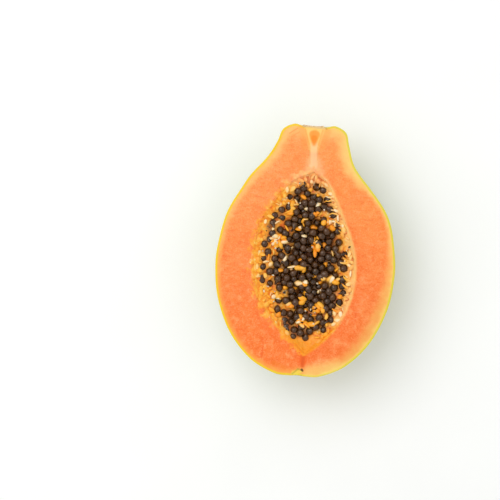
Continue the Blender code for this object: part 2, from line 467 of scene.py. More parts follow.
# %% [markdown]
# # The cut face
# The outer half and the cavity are joined into one object, and the space between their rims is bridged
# with rows of faces. The left and the right half of the rims are bridged one at a time, because two open
# chains of edges can't twist against each other as two closed rings can. A Bevel then rounds the rims: a
# knife leaves the peel's edge crisp, and the cavity's edge is softer.

# %% Bridge the rims
CUT_ROWS = 30
# The cavity's edge is rounded over this width, and the peel's edge over a share of it
EDGE_WIDTH = 0.0005
PEEL_EDGE_SHARE = 5 / 13

for half, rim_weight in ((fruit, PEEL_EDGE_SHARE), (cavity, 1)):
    start_edit(half)
    select_edges(half, lambda edge: edge.is_boundary)
    bpy.ops.transform.edge_bevelweight(value=rim_weight)
    bpy.ops.object.mode_set(mode="OBJECT")
join(fruit, [cavity])
start_edit(fruit)
for marked in (lambda edge: edge.seam, lambda edge: not edge.smooth):
    select_edges(fruit, lambda edge: edge.is_boundary and marked(edge))
    bpy.ops.mesh.bridge_edge_loops(number_cuts=CUT_ROWS, interpolation="LINEAR")
bpy.ops.mesh.select_all(action="SELECT")
bpy.ops.mesh.remove_doubles(threshold=SAME_PLACE)
bpy.ops.mesh.normals_make_consistent(inside=False)
bpy.ops.mesh.mark_seam(clear=True)
bpy.ops.mesh.mark_sharp(clear=True)
loose_edges = select_edges(fruit, lambda edge: not edge.is_manifold)
bpy.ops.object.mode_set(mode="OBJECT")
print("the fruit has", len(fruit.data.polygons), "faces and", loose_edges, "open edges")

# %% [markdown]
# # The edges of the cut
# A knife leaves the peel's edge crisp, so it gets a narrow Bevel. The cavity's edge was never cut by the
# knife all the way: it curls down softly, so the rows next to it are smoothed. Then the cut face is made a
# little uneven. It only goes down from the cut plane, so the fruit keeps its size.


# %% Distances to a line of points
# A span of no length is counted as this, so that nothing is divided by 0
TINY = 1e-18


def distance_to(line, points):
    """How far each point is from a line of points, seen from above."""
    starts = line[:-1]
    spans = line[1:] - line[:-1]
    best = numpy.full(len(points), numpy.inf)
    for start, span in zip(starts, spans):
        along = ((points - start) @ span) / max(span @ span, TINY)
        nearest = start + numpy.outer(numpy.clip(along, 0, 1), span)
        best = numpy.minimum(best, numpy.linalg.norm(points - nearest, axis=1))
    return best


def rim_line(ring_shape, steps=160):
    """The rim of a hollow or of the fruit, as a closed line of points."""
    right = []
    left = []
    for step in range(steps + 1):
        middle, station, reach, _ = ring_shape(step / steps)
        right.append((middle + reach, station))
        left.append((middle - reach, station))
    return numpy.array(right + left[::-1])


SKIN_LINE = rim_line(outer_ring)
CAVITY_LINE = rim_line(cavity_ring)
edge_length = numpy.linalg.norm(numpy.diff(SKIN_LINE, axis=0), axis=1).sum()
print("the peel's edge is", round(float(edge_length), 3), "long")

# %% Finish the edges
SMOOTHED_WIDTH = 0.0012
SMOOTHED_DEPTH = 0.0018
UNEVEN_DEPTH = 0.00035
UNEVEN_SIZE = 0.011
UNEVEN_FROM_PEEL = 0.0010
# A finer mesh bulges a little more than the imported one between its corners, and this brings it back
FIT = (0.9993, 0.9996, 0.9999)


def apply_modifiers(piece):
    only(piece)
    for modifier in list(piece.modifiers):
        bpy.ops.object.modifier_apply(modifier=modifier.name)


def uneven(piece, group, size, depth, middle=1.0):
    """Moves a group of vertices up or down by a soft noise. A middle of 1 only moves them down."""
    noise = bpy.data.textures.new(f"{piece.name} {group}", "CLOUDS")
    noise.noise_scale = size
    wave = piece.modifiers.new("uneven", "DISPLACE")
    wave.texture = noise
    wave.texture_coords = "LOCAL"
    wave.direction = "Z"
    wave.vertex_group = group
    wave.mid_level = middle
    wave.strength = depth
    apply_modifiers(piece)


def group_where(piece, name, chosen):
    """Puts the chosen vertices in a new vertex group."""
    start_edit(piece)
    bpy.ops.mesh.select_mode(type="VERT")
    select_verts(piece, chosen)
    piece.vertex_groups.new(name=name)
    bpy.ops.object.vertex_group_assign()
    bpy.ops.object.mode_set(mode="OBJECT")


bevel = fruit.modifiers.new("rounded edges", "BEVEL")
bevel.limit_method = "WEIGHT"
bevel.width = EDGE_WIDTH
bevel.segments = 2
bevel.use_clamp_overlap = False
apply_modifiers(fruit)
places = vertex_places(fruit)
near_rim = distance_to(CAVITY_LINE, places[:, :2]) < SMOOTHED_WIDTH
start_edit(fruit)
bpy.ops.mesh.select_mode(type="VERT")
select_verts(fruit, near_rim & (places[:, 2] > CUT_HEIGHT - SMOOTHED_DEPTH))
bpy.ops.mesh.vertices_smooth(factor=0.5, repeat=2)
bpy.ops.object.mode_set(mode="OBJECT")
places = vertex_places(fruit)
inside_peel = distance_to(SKIN_LINE, places[:, :2]) > UNEVEN_FROM_PEEL
group_where(fruit, "cut face", (places[:, 2] > CUT_HEIGHT - ON_PLANE) & inside_peel)
uneven(fruit, "cut face", UNEVEN_SIZE, UNEVEN_DEPTH)
bpy.ops.transform.resize(value=FIT, center_override=(0, 0, 0))
bpy.ops.object.transform_apply(location=True, rotation=False, scale=True)
bpy.ops.object.shade_smooth_by_angle(angle=math.radians(40))
print("the finished half has", len(fruit.data.polygons), "faces")

# %% [markdown]
# # What the surface knows about its place
# Under the peel the flesh is pale, and this pale rind is wide in some places and narrow in others. So each
# vertex keeps two numbers that the materials read: how far it is from the peel, as a share of the rind's
# width there, and how far it is from the cavity.

# %% Store the distances
# (angle round the fruit in degrees, counted from the right, and the width of the pale rind there)
RIND_WIDTHS = (
    (0, 0.0062),
    (24, 0.0040),
    (41, 0.0038),
    (55, 0.0070),
    (66, 0.0095),
    (80, 0.0095),
    (100, 0.0080),
    (117, 0.0072),
    (141, 0.0058),
    (180, 0.0046),
    (235, 0.0044),
    (262, 0.0052),
    (285, 0.0080),
    (301, 0.0100),
    (326, 0.0105),
    (345, 0.0084),
    (360, 0.0062),
)


def keep_number(piece, name, numbers):
    """Stores one number for each vertex under a name that a material can read."""
    layer = piece.data.attributes.new(name, "FLOAT", "POINT")
    layer.data.foreach_set("value", numpy.asarray(numbers, dtype=numpy.float32))


places = vertex_places(fruit)
flat_places = places[:, :2]
round_angle = numpy.degrees(numpy.arctan2(flat_places[:, 1], flat_places[:, 0])) % 360
angles, widths = zip(*RIND_WIDTHS)
from_peel = distance_to(SKIN_LINE, flat_places)
keep_number(fruit, "rind", from_peel / numpy.interp(round_angle, angles, widths))
keep_number(fruit, "from_peel", from_peel)
keep_number(fruit, "from_cavity", distance_to(CAVITY_LINE, flat_places))
print("each of", len(places), "vertices knows its distance to the peel and to the cavity")

# %% [markdown]
# # Painting with nodes
# A finish is built up like paint, from its ground colour to its marks. Each coat has a mask that says where
# it shows. A mask goes smoothly from one strength to another while a pattern or a distance goes through a
# range, and several ranges multiply, so that a coat can keep to one side of the fruit.


# %% Masks and coats
def mask(tree, *parts):
    """A number that follows a pattern or a distance, such as how strongly a coat shows. It is the product
    of its parts. A part is a node, an output, or a range, (value, start, end, low, high), that goes smoothly
    from low to high while its value goes from start to end. Without low and high it goes from 0 to 1."""
    product = None
    for part in parts:
        if isinstance(part, tuple):
            value, start, end, *strengths = part
            low, high = strengths or (0.0, 1.0)
            inputs = {"Value": value, "From Min": start, "From Max": end, "To Min": low, "To Max": high}
            part = add(tree, "ShaderNodeMapRange", inputs, interpolation_type="SMOOTHSTEP")
        if product is not None:
            part = add(tree, "ShaderNodeMath", {0: product, 1: part}, operation="MULTIPLY")
        product = part
    return product


def coat(tree, ground, shade, *parts):
    """Lays a shade over a ground colour where the mask of the parts says. A colour is a code or an output."""
    colours = [linear(colour) if isinstance(colour, str) else colour for colour in (ground, shade)]
    inputs = {0: mask(tree, *parts), 6: colours[0], 7: colours[1]}
    return add(tree, "ShaderNodeMix", inputs, data_type="RGBA").outputs[2]


print("a finish is built up from coats")

# %% [markdown]
# # Peel
# The peel of a papaya is a thin leathery skin with a natural wax on it. It ripens from green to yellow in
# soft clouds, keeps small dark green specks, and gets pale scuffs. The wax gives a soft broad shine, so the
# roughness is middling, with a thin smoother coat.


# %% Waxy peel
CLOUD_SIZE = 0.040
DRIFT_SIZE = 0.009
SCUFF_SIZE = 0.004
SPECK_SPACING = 0.0050
SCAR_SPACING = 0.011
PORE_SIZE = 0.0007

peel, tree, shader, place = new_material(
    "waxy papaya peel",
    0.38,
    1.45,
    Coat_Weight=0.3,
    Coat_Roughness=0.16,
    Subsurface_Weight=0.08,
    Subsurface_Radius=(0.004, 0.003, 0.001),
    Subsurface_Scale=0.5,
)
axes = add(tree, "ShaderNodeSeparateXYZ", {0: place})
long_place = add(tree, "ShaderNodeMapping", {"Vector": place, "Scale": (1, 0.55, 1)})
clouds = add(
    tree,
    "ShaderNodeTexNoise",
    {"Vector": long_place, "Scale": 1 / CLOUD_SIZE, "Detail": 3, "Roughness": 0.5, "Distortion": 0.5},
)
ripeness = add(
    tree,
    "ShaderNodeValToRGB",
    {"Fac": clouds},
    stops=(
        (0.34, linear("#5f7f0c")),
        (0.46, linear("#86990f")),
        (0.56, linear("#aeac12")),
        (0.68, linear("#d2ae0c")),
    ),
)
drift = add(
    tree, "ShaderNodeTexNoise", {"Vector": place, "Scale": 1 / DRIFT_SIZE, "Detail": 4, "Roughness": 0.6}
)
colour = coat(tree, ripeness, "#5c7c0e", (drift, 0.50, 0.72, 0, 0.55))
colour = coat(tree, colour, "#c2b81c", (drift, 0.46, 0.30, 0, 0.40))
grain = add(tree, "ShaderNodeTexNoise", {"Vector": place, "Scale": 1 / PORE_SIZE, "Detail": 2})
colour = coat(tree, colour, "#6f860e", (grain, 0.5, 0.75, 0, 0.45))
brushed = add(tree, "ShaderNodeMapping", {"Vector": place, "Scale": (1, 0.12, 1)})
scuffs = add(
    tree, "ShaderNodeTexNoise", {"Vector": brushed, "Scale": 1 / SCUFF_SIZE, "Detail": 3, "Roughness": 0.7}
)
colour = coat(tree, colour, "#d3d27a", (scuffs, 0.60, 0.78, 0, 0.45))
specks = add(tree, "ShaderNodeTexVoronoi", {"Vector": place, "Scale": 1 / SPECK_SPACING})
speck_pick = add(tree, "ShaderNodeSeparateColor", {0: specks.outputs["Color"]})
speck_size = mask(tree, (speck_pick.outputs[1], 0, 1, 0.03, 0.13))
speck_edge = add(
    tree, "ShaderNodeMath", {0: specks.outputs["Distance"], 1: speck_size}, operation="SUBTRACT"
)
speck_here = mask(tree, (speck_edge, -0.02, 0.03, 1, 0), (speck_pick, 0.50, 0.70))
colour = coat(tree, colour, "#4a6a10", speck_here)
scars = add(tree, "ShaderNodeTexVoronoi", {"Vector": brushed, "Scale": 1 / SCAR_SPACING})
scar_pick = add(tree, "ShaderNodeSeparateColor", {0: scars.outputs["Color"]})
scar_middle = (scars.outputs["Distance"], 0.02, 0.06, 1, 0)
colour = coat(tree, colour, "#8a6c38", scar_middle, (scar_pick, 0.66, 0.75))
rim_colour = coat(tree, "#e8c41a", "#d8c632", (axes.outputs[0], -0.02, 0.02))
rim_drop = mask(tree, (drift, 0.35, 0.65, 0.0100, 0.0040))
rim_depth = add(tree, "ShaderNodeMath", {0: CUT_HEIGHT, 1: axes.outputs[2]}, operation="SUBTRACT")
rim_place = add(tree, "ShaderNodeMath", {0: rim_depth, 1: rim_drop}, operation="DIVIDE")
colour = coat(tree, colour, rim_colour, (rim_place, 1.0, 0.08, 0, 0.9))
tree.links.new(colour, shader.inputs["Base Color"])
pores = add(tree, "ShaderNodeBump", {"Height": grain, "Strength": 0.12, "Distance": 0.0002})
dents = add(
    tree, "ShaderNodeBump", {"Height": speck_here, "Strength": 0.3, "Distance": 0.0002, "Normal": pores}
)
tree.links.new(dents.outputs[0], shader.inputs["Normal"])
print(peel.name, "has", len(tree.nodes), "nodes")

# %% [markdown]
# # Colours of the pulp
# Where the flesh turns into pulp there is no sharp line. The same lumpy pattern of yellow, cream and deep
# orange runs from the edge of the flesh down into the cavity. So this pattern is made once, in the
# coordinates that all pieces share, and is used by the flesh, the bed of pulp and the lumps.

# %% A pattern for several finishes
RIDGE_SIZE = 0.0038
# Between these depths below the cut, a painted shade darkens the pulp away from the wall
PAINTED_SHADE_FROM = 0.0052
PAINTED_SHADE_FULL = 0.0080


def ridged(tree, place):
    """The height of the pulp's ridges, and their colours."""
    ridges = add(
        tree,
        "ShaderNodeTexNoise",
        {"Vector": place, "Scale": 1 / RIDGE_SIZE, "Detail": 4, "Roughness": 0.6, "Distortion": 0.4},
    )
    shades = add(
        tree,
        "ShaderNodeValToRGB",
        {"Fac": ridges},
        stops=(
            (0.30, linear("#d9560a")),
            (0.41, linear("#f58812")),
            (0.51, linear("#fda626")),
            (0.61, linear("#ffba48")),
            (0.72, linear("#ffe0a4")),
        ),
    )
    return ridges, shades


def beside_wall(tree, axes, colour):
    """Tints the pulp beside the wall: cream at the right and top, orange below. Deep down and away from the
    wall it is painted dark, as shade.
    """
    from_cavity = add(tree, "ShaderNodeAttribute", attribute_name="from_cavity").outputs["Fac"]
    right = (axes.outputs[0], 0.004, 0.018)
    above = (axes.outputs[1], -0.056, -0.044)
    near = (from_cavity, 0.0065, 0.0010, 0, 0.65)
    colour = coat(tree, colour, "#ffcb80", right, above, near)
    colour = coat(tree, colour, "#fdbb84", (axes.outputs[1], 0.040, 0.052, 0, 0.55))
    colour = coat(tree, colour, "#ff980c", (axes.outputs[1], -0.054, -0.066, 0, 0.75))
    # Painted shade: the pulp grows dark deep down and away from the wall, where the gaps between seeds get
    # little light
    deep = (axes.outputs[2], CUT_HEIGHT - PAINTED_SHADE_FROM, CUT_HEIGHT - PAINTED_SHADE_FULL, 0, 0.92)
    far = (from_cavity, 0.004, 0.010)
    return coat(tree, colour, "#3a1e0a", deep, far)


print("the flesh and the pulp share their colours")

# %% [markdown]
# # Cut flesh
# Ripe papaya flesh is wet, soft and slightly see-through, so light scatters under its surface. A knife
# leaves it finely grainy. Its fibres run out from the cavity, its colour deepens to red-orange beside the
# cavity, and it pales to yellow under the peel.

# %% Knife-cut flesh
GRAIN_SIZE = 0.0021
BLOTCH_SIZE = 0.016
SCRATCH_SIZE = 0.0028
# How many streaks go round, and how fast they change on their way out
STREAK_COUNT = 46
STREAK_CHANGE = 9.0
PEEL_THICKNESS = 0.0013

flesh, tree, shader, place = new_material(
    "knife-cut papaya flesh",
    0.42,
    1.36,
    Subsurface_Weight=0.25,
    Subsurface_Radius=(0.005, 0.002, 0.001),
    Subsurface_Scale=0.6,
    Coat_Weight=0.12,
    Coat_Roughness=0.3,
)
axes = add(tree, "ShaderNodeSeparateXYZ", {0: place})
rind = add(tree, "ShaderNodeAttribute", attribute_name="rind").outputs["Fac"]
from_peel = add(tree, "ShaderNodeAttribute", attribute_name="from_peel").outputs["Fac"]
from_cavity = add(tree, "ShaderNodeAttribute", attribute_name="from_cavity").outputs["Fac"]

lower = mask(tree, (axes.outputs[1], 0.045, -0.055))
right = mask(tree, (axes.outputs[0], -0.03, 0.03))
left_flesh = coat(tree, "#fd974c", "#fb8036", lower)
right_flesh = coat(tree, "#fc9446", "#f7803c", lower)
colour = coat(tree, left_flesh, right_flesh, right)
blotches = add(
    tree, "ShaderNodeTexNoise", {"Vector": place, "Scale": 1 / BLOTCH_SIZE, "Detail": 3, "Roughness": 0.6}
)
colour = coat(tree, colour, "#f87a34", (blotches, 0.48, 0.75, 0, 0.5))
colour = coat(tree, colour, "#ffa45c", (blotches, 0.45, 0.25, 0, 0.5))

outward = add(tree, "ShaderNodeMapping", {"Vector": place, "Scale": (1, 0.75, 0)})
ray = add(tree, "ShaderNodeVectorMath", {0: outward}, operation="NORMALIZE")
reach = add(tree, "ShaderNodeVectorMath", {0: outward}, operation="LENGTH").outputs["Value"]
ray_axes = add(tree, "ShaderNodeSeparateXYZ", {0: ray})
reach_share = add(tree, "ShaderNodeMath", {0: reach, 1: STREAK_CHANGE}, operation="MULTIPLY")
ray_place = add(
    tree, "ShaderNodeCombineXYZ", {0: ray_axes.outputs[0], 1: ray_axes.outputs[1], 2: reach_share}
)
streaks = add(
    tree, "ShaderNodeTexNoise", {"Vector": ray_place, "Scale": STREAK_COUNT, "Detail": 3, "Roughness": 0.65}
)
colour = coat(tree, colour, "#ffb070", (streaks, 0.52, 0.78, 0, 0.6))
colour = coat(tree, colour, "#f27638", (streaks, 0.46, 0.25, 0, 0.5))

blush_reach = (from_cavity, 0.0, 0.014, 0.45, 0.0)
blush_side = (axes.outputs[1], 0.035, -0.045, 0.15, 1.0)
colour = coat(tree, colour, "#fa6e2a", blush_reach, blush_side)

slanted = add(tree, "ShaderNodeMapping", {"Vector": place, "Rotation": (0, 0, -0.6), "Scale": (0.45, 1, 1)})
grain = add(
    tree, "ShaderNodeTexNoise", {"Vector": slanted, "Scale": 1 / GRAIN_SIZE, "Detail": 3, "Roughness": 0.6}
)
colour = coat(tree, colour, "#ffb27a", (grain, 0.52, 0.74, 0, 0.35))
colour = coat(tree, colour, "#ec6624", (grain, 0.48, 0.26, 0, 0.60))
scratched = add(tree, "ShaderNodeMapping", {"Vector": place, "Rotation": (0, 0, 0.75), "Scale": (1, 0.22, 1)})
scratches = add(
    tree,
    "ShaderNodeTexNoise",
    {"Vector": scratched, "Scale": 1 / SCRATCH_SIZE, "Detail": 3, "Distortion": 0.3},
)
scratch_side = (axes.outputs[1], 0.020, -0.040, 0.25, 0.85)
colour = coat(tree, colour, "#f26a2a", (scratches, 0.62, 0.72), scratch_side)
print(flesh.name, "has", len(tree.nodes), "nodes so far")

# %% Mottling and cells
MOTTLE_SIZE = 0.0055
CELL_SIZE = 0.0009

mottles = add(
    tree, "ShaderNodeTexNoise", {"Vector": place, "Scale": 1 / MOTTLE_SIZE, "Detail": 2, "Distortion": 0.5}
)
mottle_side = mask(tree, (axes.outputs[1], 0.040, -0.060, 0.15, 0.70))
colour = coat(tree, colour, "#f27028", (mottles, 0.52, 0.70), mottle_side)
colour = coat(tree, colour, "#ffa664", (mottles, 0.46, 0.28), mottle_side)
cells = add(tree, "ShaderNodeTexNoise", {"Vector": place, "Scale": 1 / CELL_SIZE, "Detail": 1})
colour = coat(tree, colour, "#ffb474", (cells, 0.55, 0.75, 0, 0.40))
colour = coat(tree, colour, "#ec6a20", (cells, 0.45, 0.25, 0, 0.60))
print(flesh.name, "has", len(tree.nodes), "nodes with its mottling")

# %% The pale rind under the peel
WOBBLE_SIZE = 0.006

wobble = add(tree, "ShaderNodeTexNoise", {"Vector": place, "Scale": 1 / WOBBLE_SIZE, "Detail": 3})
wobble_share = mask(tree, (wobble, 0.3, 0.7, -0.10, 0.10))
rind_place = add(tree, "ShaderNodeMath", {0: rind, 1: wobble_share}, operation="ADD")
upper_rind = coat(tree, "#ffc270", "#ffcb76", right)
lower_rind = coat(tree, "#fba848", "#f0ae58", right)
rind_colour = coat(tree, upper_rind, lower_rind, lower)
colour = coat(tree, colour, rind_colour, (rind_place, 1.20, 0.25, 0, 0.90))
outer_rind = coat(tree, "#fdbb48", "#f2cf6c", right)
colour = coat(tree, colour, outer_rind, (rind_place, 0.42, 0.10, 0, 0.75))
colour = coat(tree, colour, "#ffbe70", (axes.outputs[1], 0.058, 0.084, 0, 0.25))

peel_edge = coat(tree, "#ecc81c", "#d9cb38", right)
colour = coat(tree, colour, peel_edge, (from_peel, PEEL_THICKNESS * 1.5, PEEL_THICKNESS * 0.7))
print("the rind is drawn by its own width")

# %% [markdown]
# # The marks on the cut face
# The cut runs through the strands that fed the fruit. Two of them show as fine lines beside a pale core in
# the neck, under an orange wedge at the stem. At the other end a red-orange line runs from the cavity to
# the small dark scar of the blossom.


# %% Draw a stroke on the cut face
def stroke(tree, axes, start, end, widths, soft, strength):
    """How much a point of the cut face lies on a straight stroke: strength on it, and 0 off it. The stroke's
    width goes from the first to the second of its widths."""
    span = Vector(end) - Vector(start)
    from_start_x = add(tree, "ShaderNodeMath", {0: axes.outputs[0], 1: start[0]}, operation="SUBTRACT")
    from_start_y = add(tree, "ShaderNodeMath", {0: axes.outputs[1], 1: start[1]}, operation="SUBTRACT")
    flat = add(tree, "ShaderNodeCombineXYZ", {0: from_start_x, 1: from_start_y})
    direction = (*(span / span.length_squared), 0)
    along = add(tree, "ShaderNodeVectorMath", {0: flat, 1: direction}, operation="DOT_PRODUCT")
    held = add(tree, "ShaderNodeClamp", {0: along.outputs["Value"]})
    on_line = add(tree, "ShaderNodeVectorMath", {0: (*span, 0), "Scale": held}, operation="SCALE")
    gap = add(tree, "ShaderNodeVectorMath", {0: flat, 1: on_line}, operation="DISTANCE").outputs["Value"]
    narrowing = (widths[0] - widths[1]) / 2
    drawn = add(tree, "ShaderNodeMath", {0: held, 1: narrowing, 2: gap}, operation="MULTIPLY_ADD")
    return mask(tree, (drawn, widths[0] / 2, widths[0] / 2 + soft, strength, 0))


# (start, end, width at both, softness of its edge, strength, colour)
MARKS = (
    # deeper flesh on both sides of the wedge
    ((-0.0090, 0.0850), (-0.0056, 0.0730), (0.0030, 0.0016), 0.0030, 0.45, "#ff9a44"),
    ((0.0085, 0.0840), (0.0056, 0.0730), (0.0030, 0.0016), 0.0030, 0.45, "#ff9a44"),
    # the pale wedge below the stem scar, and the core that runs down from it
    ((0.0000, 0.0885), (0.0002, 0.0720), (0.0125, 0.0036), 0.0028, 0.70, "#ffcf72"),
    ((0.0003, 0.0745), (0.0008, 0.0600), (0.0026, 0.0034), 0.0022, 0.70, "#ffca98"),
    ((0.0008, 0.0620), (0.0015, 0.0540), (0.0040, 0.0080), 0.0060, 0.50, "#ffc58c"),
    # strands
    ((-0.0066, 0.0850), (-0.0032, 0.0745), (0.0003, 0.0003), 0.0008, 0.50, "#e89a40"),
    ((-0.0026, 0.0730), (-0.0018, 0.0610), (0.0002, 0.0002), 0.0008, 0.40, "#d9a050"),
    ((0.0056, 0.0850), (0.0034, 0.0745), (0.0003, 0.0003), 0.0008, 0.50, "#e89a40"),
    ((0.0030, 0.0730), (0.0036, 0.0640), (0.0002, 0.0002), 0.0008, 0.40, "#d9a050"),
    # the orange spot, with its tip down
    ((0.0001, 0.0812), (0.0002, 0.0750), (0.0054, 0.0006), 0.0020, 0.80, "#ff9422"),
    ((0.0000, 0.0790), (0.0001, 0.0766), (0.0024, 0.0006), 0.0022, 0.70, "#fa8200"),
    ((-0.0022, 0.0826), (0.0024, 0.0826), (0.0010, 0.0010), 0.0014, 0.55, "#ff9c3c"),
    # scratches beside the stem
    ((-0.0175, 0.0815), (-0.0120, 0.0855), (0.0002, 0.0002), 0.0006, 0.50, "#f8782a"),
    ((-0.0160, 0.0790), (-0.0105, 0.0830), (0.0001, 0.0001), 0.0005, 0.40, "#f8782a"),
    # the cork of the stem scar, cut through
    ((-0.0070, 0.0874), (0.0066, 0.0866), (0.0010, 0.0010), 0.0010, 0.70, "#e4b880"),
    ((-0.0080, 0.0874), (-0.0068, 0.0872), (0.0006, 0.0004), 0.0009, 0.60, "#9a6a3c"),
    ((0.0079, 0.0864), (0.0082, 0.0862), (0.0004, 0.0004), 0.0009, 0.50, "#a87a40"),
    # the yellow rind at the lower right
    ((0.0085, -0.0848), (0.0260, -0.0800), (0.0020, 0.0030), 0.0070, 0.42, "#f8dc80"),
    # the line and the arch at the blossom end
    ((0.0034, -0.0690), (0.0033, -0.0790), (0.0022, 0.0006), 0.0040, 0.80, "#f0600e"),
    ((0.0035, -0.0692), (0.0034, -0.0812), (0.0007, 0.0004), 0.0018, 0.60, "#dc5208"),
    ((-0.0022, -0.0868), (0.0026, -0.0846), (0.0026, 0.0010), 0.0014, 0.75, "#f0d850"),
    ((-0.0034, -0.0872), (0.0004, -0.0836), (0.0002, 0.0002), 0.0009, 0.60, "#b09a2c"),
    ((0.0004, -0.0836), (0.0026, -0.0840), (0.0002, 0.0002), 0.0009, 0.55, "#b09a2c"),
    ((0.0031, -0.0839), (0.0037, -0.0845), (0.0012, 0.0008), 0.0006, 0.95, "#5e3810"),
    # darker blotches on the lower left
    ((-0.0255, -0.0560), (-0.0235, -0.0580), (0.0010, 0.0010), 0.0050, 0.50, "#ff6a20"),
    ((-0.0170, -0.0803), (-0.0085, -0.0832), (0.0014, 0.0008), 0.0018, 0.55, "#f07c20"),
)
for start, end, widths, soft, strength, shade in MARKS:
    colour = coat(tree, colour, shade, stroke(tree, axes, start, end, widths, soft, strength))
print("the cut face has", len(MARKS), "strokes")

# %% Where the flesh turns into pulp, and the flesh's relief
FRAY_SIZE = 0.0046
DRAG_SIZE = 0.003

_, pulp_shades = ridged(tree, place)
pulp_here = beside_wall(tree, axes, pulp_shades)
fray = add(
    tree, "ShaderNodeTexNoise", {"Vector": place, "Scale": 1 / FRAY_SIZE, "Detail": 3, "Roughness": 0.55}
)
fray_share = mask(tree, (fray, 0.32, 0.68, -0.0030, 0.0030))
frayed = add(tree, "ShaderNodeMath", {0: from_cavity, 1: fray_share}, operation="ADD")
lip_right = mask(tree, (axes.outputs[0], 0.000, 0.010))
wide_lip = mask(tree, (frayed, 0.0044, 0.0002, 0, 1.0))
narrow_lip = mask(tree, (from_cavity, 0.0024, 0.0003, 0, 0.95))
# The lip of pulp is wide on the left and narrow on the right
lip = coat(tree, wide_lip, narrow_lip, lip_right)
# The wet shine greys the flesh a little, so its own colour is made a little stronger
stronger = add(tree, "ShaderNodeHueSaturation", {"Saturation": 1.015, "Color": colour}).outputs[0]
colour = coat(tree, stronger, pulp_here, lip)
tree.links.new(colour, shader.inputs["Base Color"])
knife = add(tree, "ShaderNodeMapping", {"Vector": place, "Scale": (1, 0.08, 1), "Rotation": (0, 0, 0.5)})
drag = add(tree, "ShaderNodeTexNoise", {"Vector": knife, "Scale": 1 / DRAG_SIZE, "Detail": 2})
drag_bump = add(tree, "ShaderNodeBump", {"Height": drag, "Strength": 0.15, "Distance": 0.0004})
fibre_bump = add(
    tree, "ShaderNodeBump", {"Height": streaks, "Strength": 0.20, "Distance": 0.0005, "Normal": drag_bump}
)
grain_bump = add(
    tree, "ShaderNodeBump", {"Height": grain, "Strength": 0.30, "Distance": 0.0004, "Normal": fibre_bump}
)
tree.links.new(grain_bump.outputs[0], shader.inputs["Normal"])
wetness = mask(tree, (blotches, 0.3, 0.7, 0.34, 0.52))
tree.links.new(wetness.outputs[0], shader.inputs["Roughness"])
print(flesh.name, "has", len(tree.nodes), "nodes")

# %% [markdown]
# # Cavity lining
# Where the seeds have come away the cavity's wall is smooth and wet, with shallow wrinkles. It is deep
# orange on the left and at the bottom, and pale cream on the right.

# %% Wet cavity lining
FOLD_SIZE = 0.0045

lining, tree, shader, place = new_material(
    "wet cavity lining",
    0.30,
    1.36,
    Subsurface_Weight=0.25,
    Subsurface_Radius=(0.004, 0.002, 0.001),
    Subsurface_Scale=0.6,
    Coat_Weight=0.3,
    Coat_Roughness=0.2,
)
axes = add(tree, "ShaderNodeSeparateXYZ", {0: place})
right = (axes.outputs[0], -0.002, 0.014)
high_up = (axes.outputs[1], -0.055, -0.040)
colour = coat(tree, "#ff9a1c", "#ffd493", right, high_up)
colour = coat(tree, colour, "#fdbd74", (axes.outputs[1], 0.028, 0.050, 0, 0.8))
wrinkles = add(
    tree, "ShaderNodeTexNoise", {"Vector": place, "Scale": 1 / FOLD_SIZE, "Detail": 3, "Distortion": 0.8}
)
colour = coat(tree, colour, "#f07d12", (wrinkles, 0.50, 0.75, 0, 0.5))
colour = coat(tree, colour, "#ffb850", (wrinkles, 0.42, 0.25, 0, 0.5))
tree.links.new(colour, shader.inputs["Base Color"])
folds = add(tree, "ShaderNodeBump", {"Height": wrinkles, "Strength": 0.5, "Distance": 0.0010})
tree.links.new(folds.outputs[0], shader.inputs["Normal"])
print(lining.name, "has", len(tree.nodes), "nodes")

# %% Give each face its finish
CUT_BAND = 0.0006
NEAR = 0.001
# The least upward lean of a face of the cut, and of a face of the lining
CUT_FACING = 0.5
LINING_FACING = -0.2

fruit.data.materials.clear()
for finish in (peel, flesh, lining):
    fruit.data.materials.append(finish)
slots = {"peel": 0, "flesh": 1, "lining": 2}


def finish_of(face):
    """Peel on the outside, flesh on the cut face, and lining inside the cavity's rim."""
    if face.center.z > CUT_HEIGHT - CUT_BAND and face.normal.z > CUT_FACING:
        return slots["flesh"]
    left, right = between(CAVITY_RIM, face.center.y)
    beside = left - NEAR < face.center.x < right + NEAR
    inside = beside and CAVITY_RIM[-1][0] - NEAR < face.center.y < CAVITY_RIM[0][0] + NEAR
    above_floor = face.center.z > CUT_HEIGHT - CAVITY_DEPTH - NEAR
    if inside and face.normal.z > LINING_FACING and above_floor:
        return slots["lining"]
    return slots["peel"]


for face in fruit.data.polygons:
    face.material_index = finish_of(face)
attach(fruit, "root")
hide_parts("papaya_half")
print("the fruit is one piece with three finishes")

# %% [markdown]
# # The bed of pulp
# The seeds grow on a soft pulp that lines the cavity. When the fruit is cut, the pulp at the edges stands
# nearly as high as the cut face, and it sinks towards the middle under the seeds. So the bed is a shallow
# dish: two more half balls, one under the other, joined at their rims. Displace makes its top lumpy.

# %% The dish
BED_DROP = 0.00005
BED_DEPTH = 0.0078
BED_BOTTOM = 0.0125
BED_INTO_LEFT = 0.0015
BED_INTO_RIGHT = 0.0006
BED_SIDES = 112
BED_RINGS = 96
BED_LEFT = (1.3, 0.8)
BED_RIGHT = (1.6, 1.25)
# (size of the lumps, how far they move the surface), and the share of that which goes down
BED_LUMPS = ((0.0060, 0.0024), (0.0024, 0.0012))
BED_LUMPS_DOWN = 0.65


def bed_ring(share, middle_depth=BED_DEPTH):
    middle, y, reach, _ = cavity_ring(share)
    depth = middle_depth * (2 * reach / CAVITY_WIDTH) ** DEPTH_TAPER
    middle += (BED_INTO_RIGHT - BED_INTO_LEFT) / 2
    return middle, y, reach + (BED_INTO_RIGHT + BED_INTO_LEFT) / 2, depth


def bottom_ring(share):
    return bed_ring(share, BED_BOTTOM)


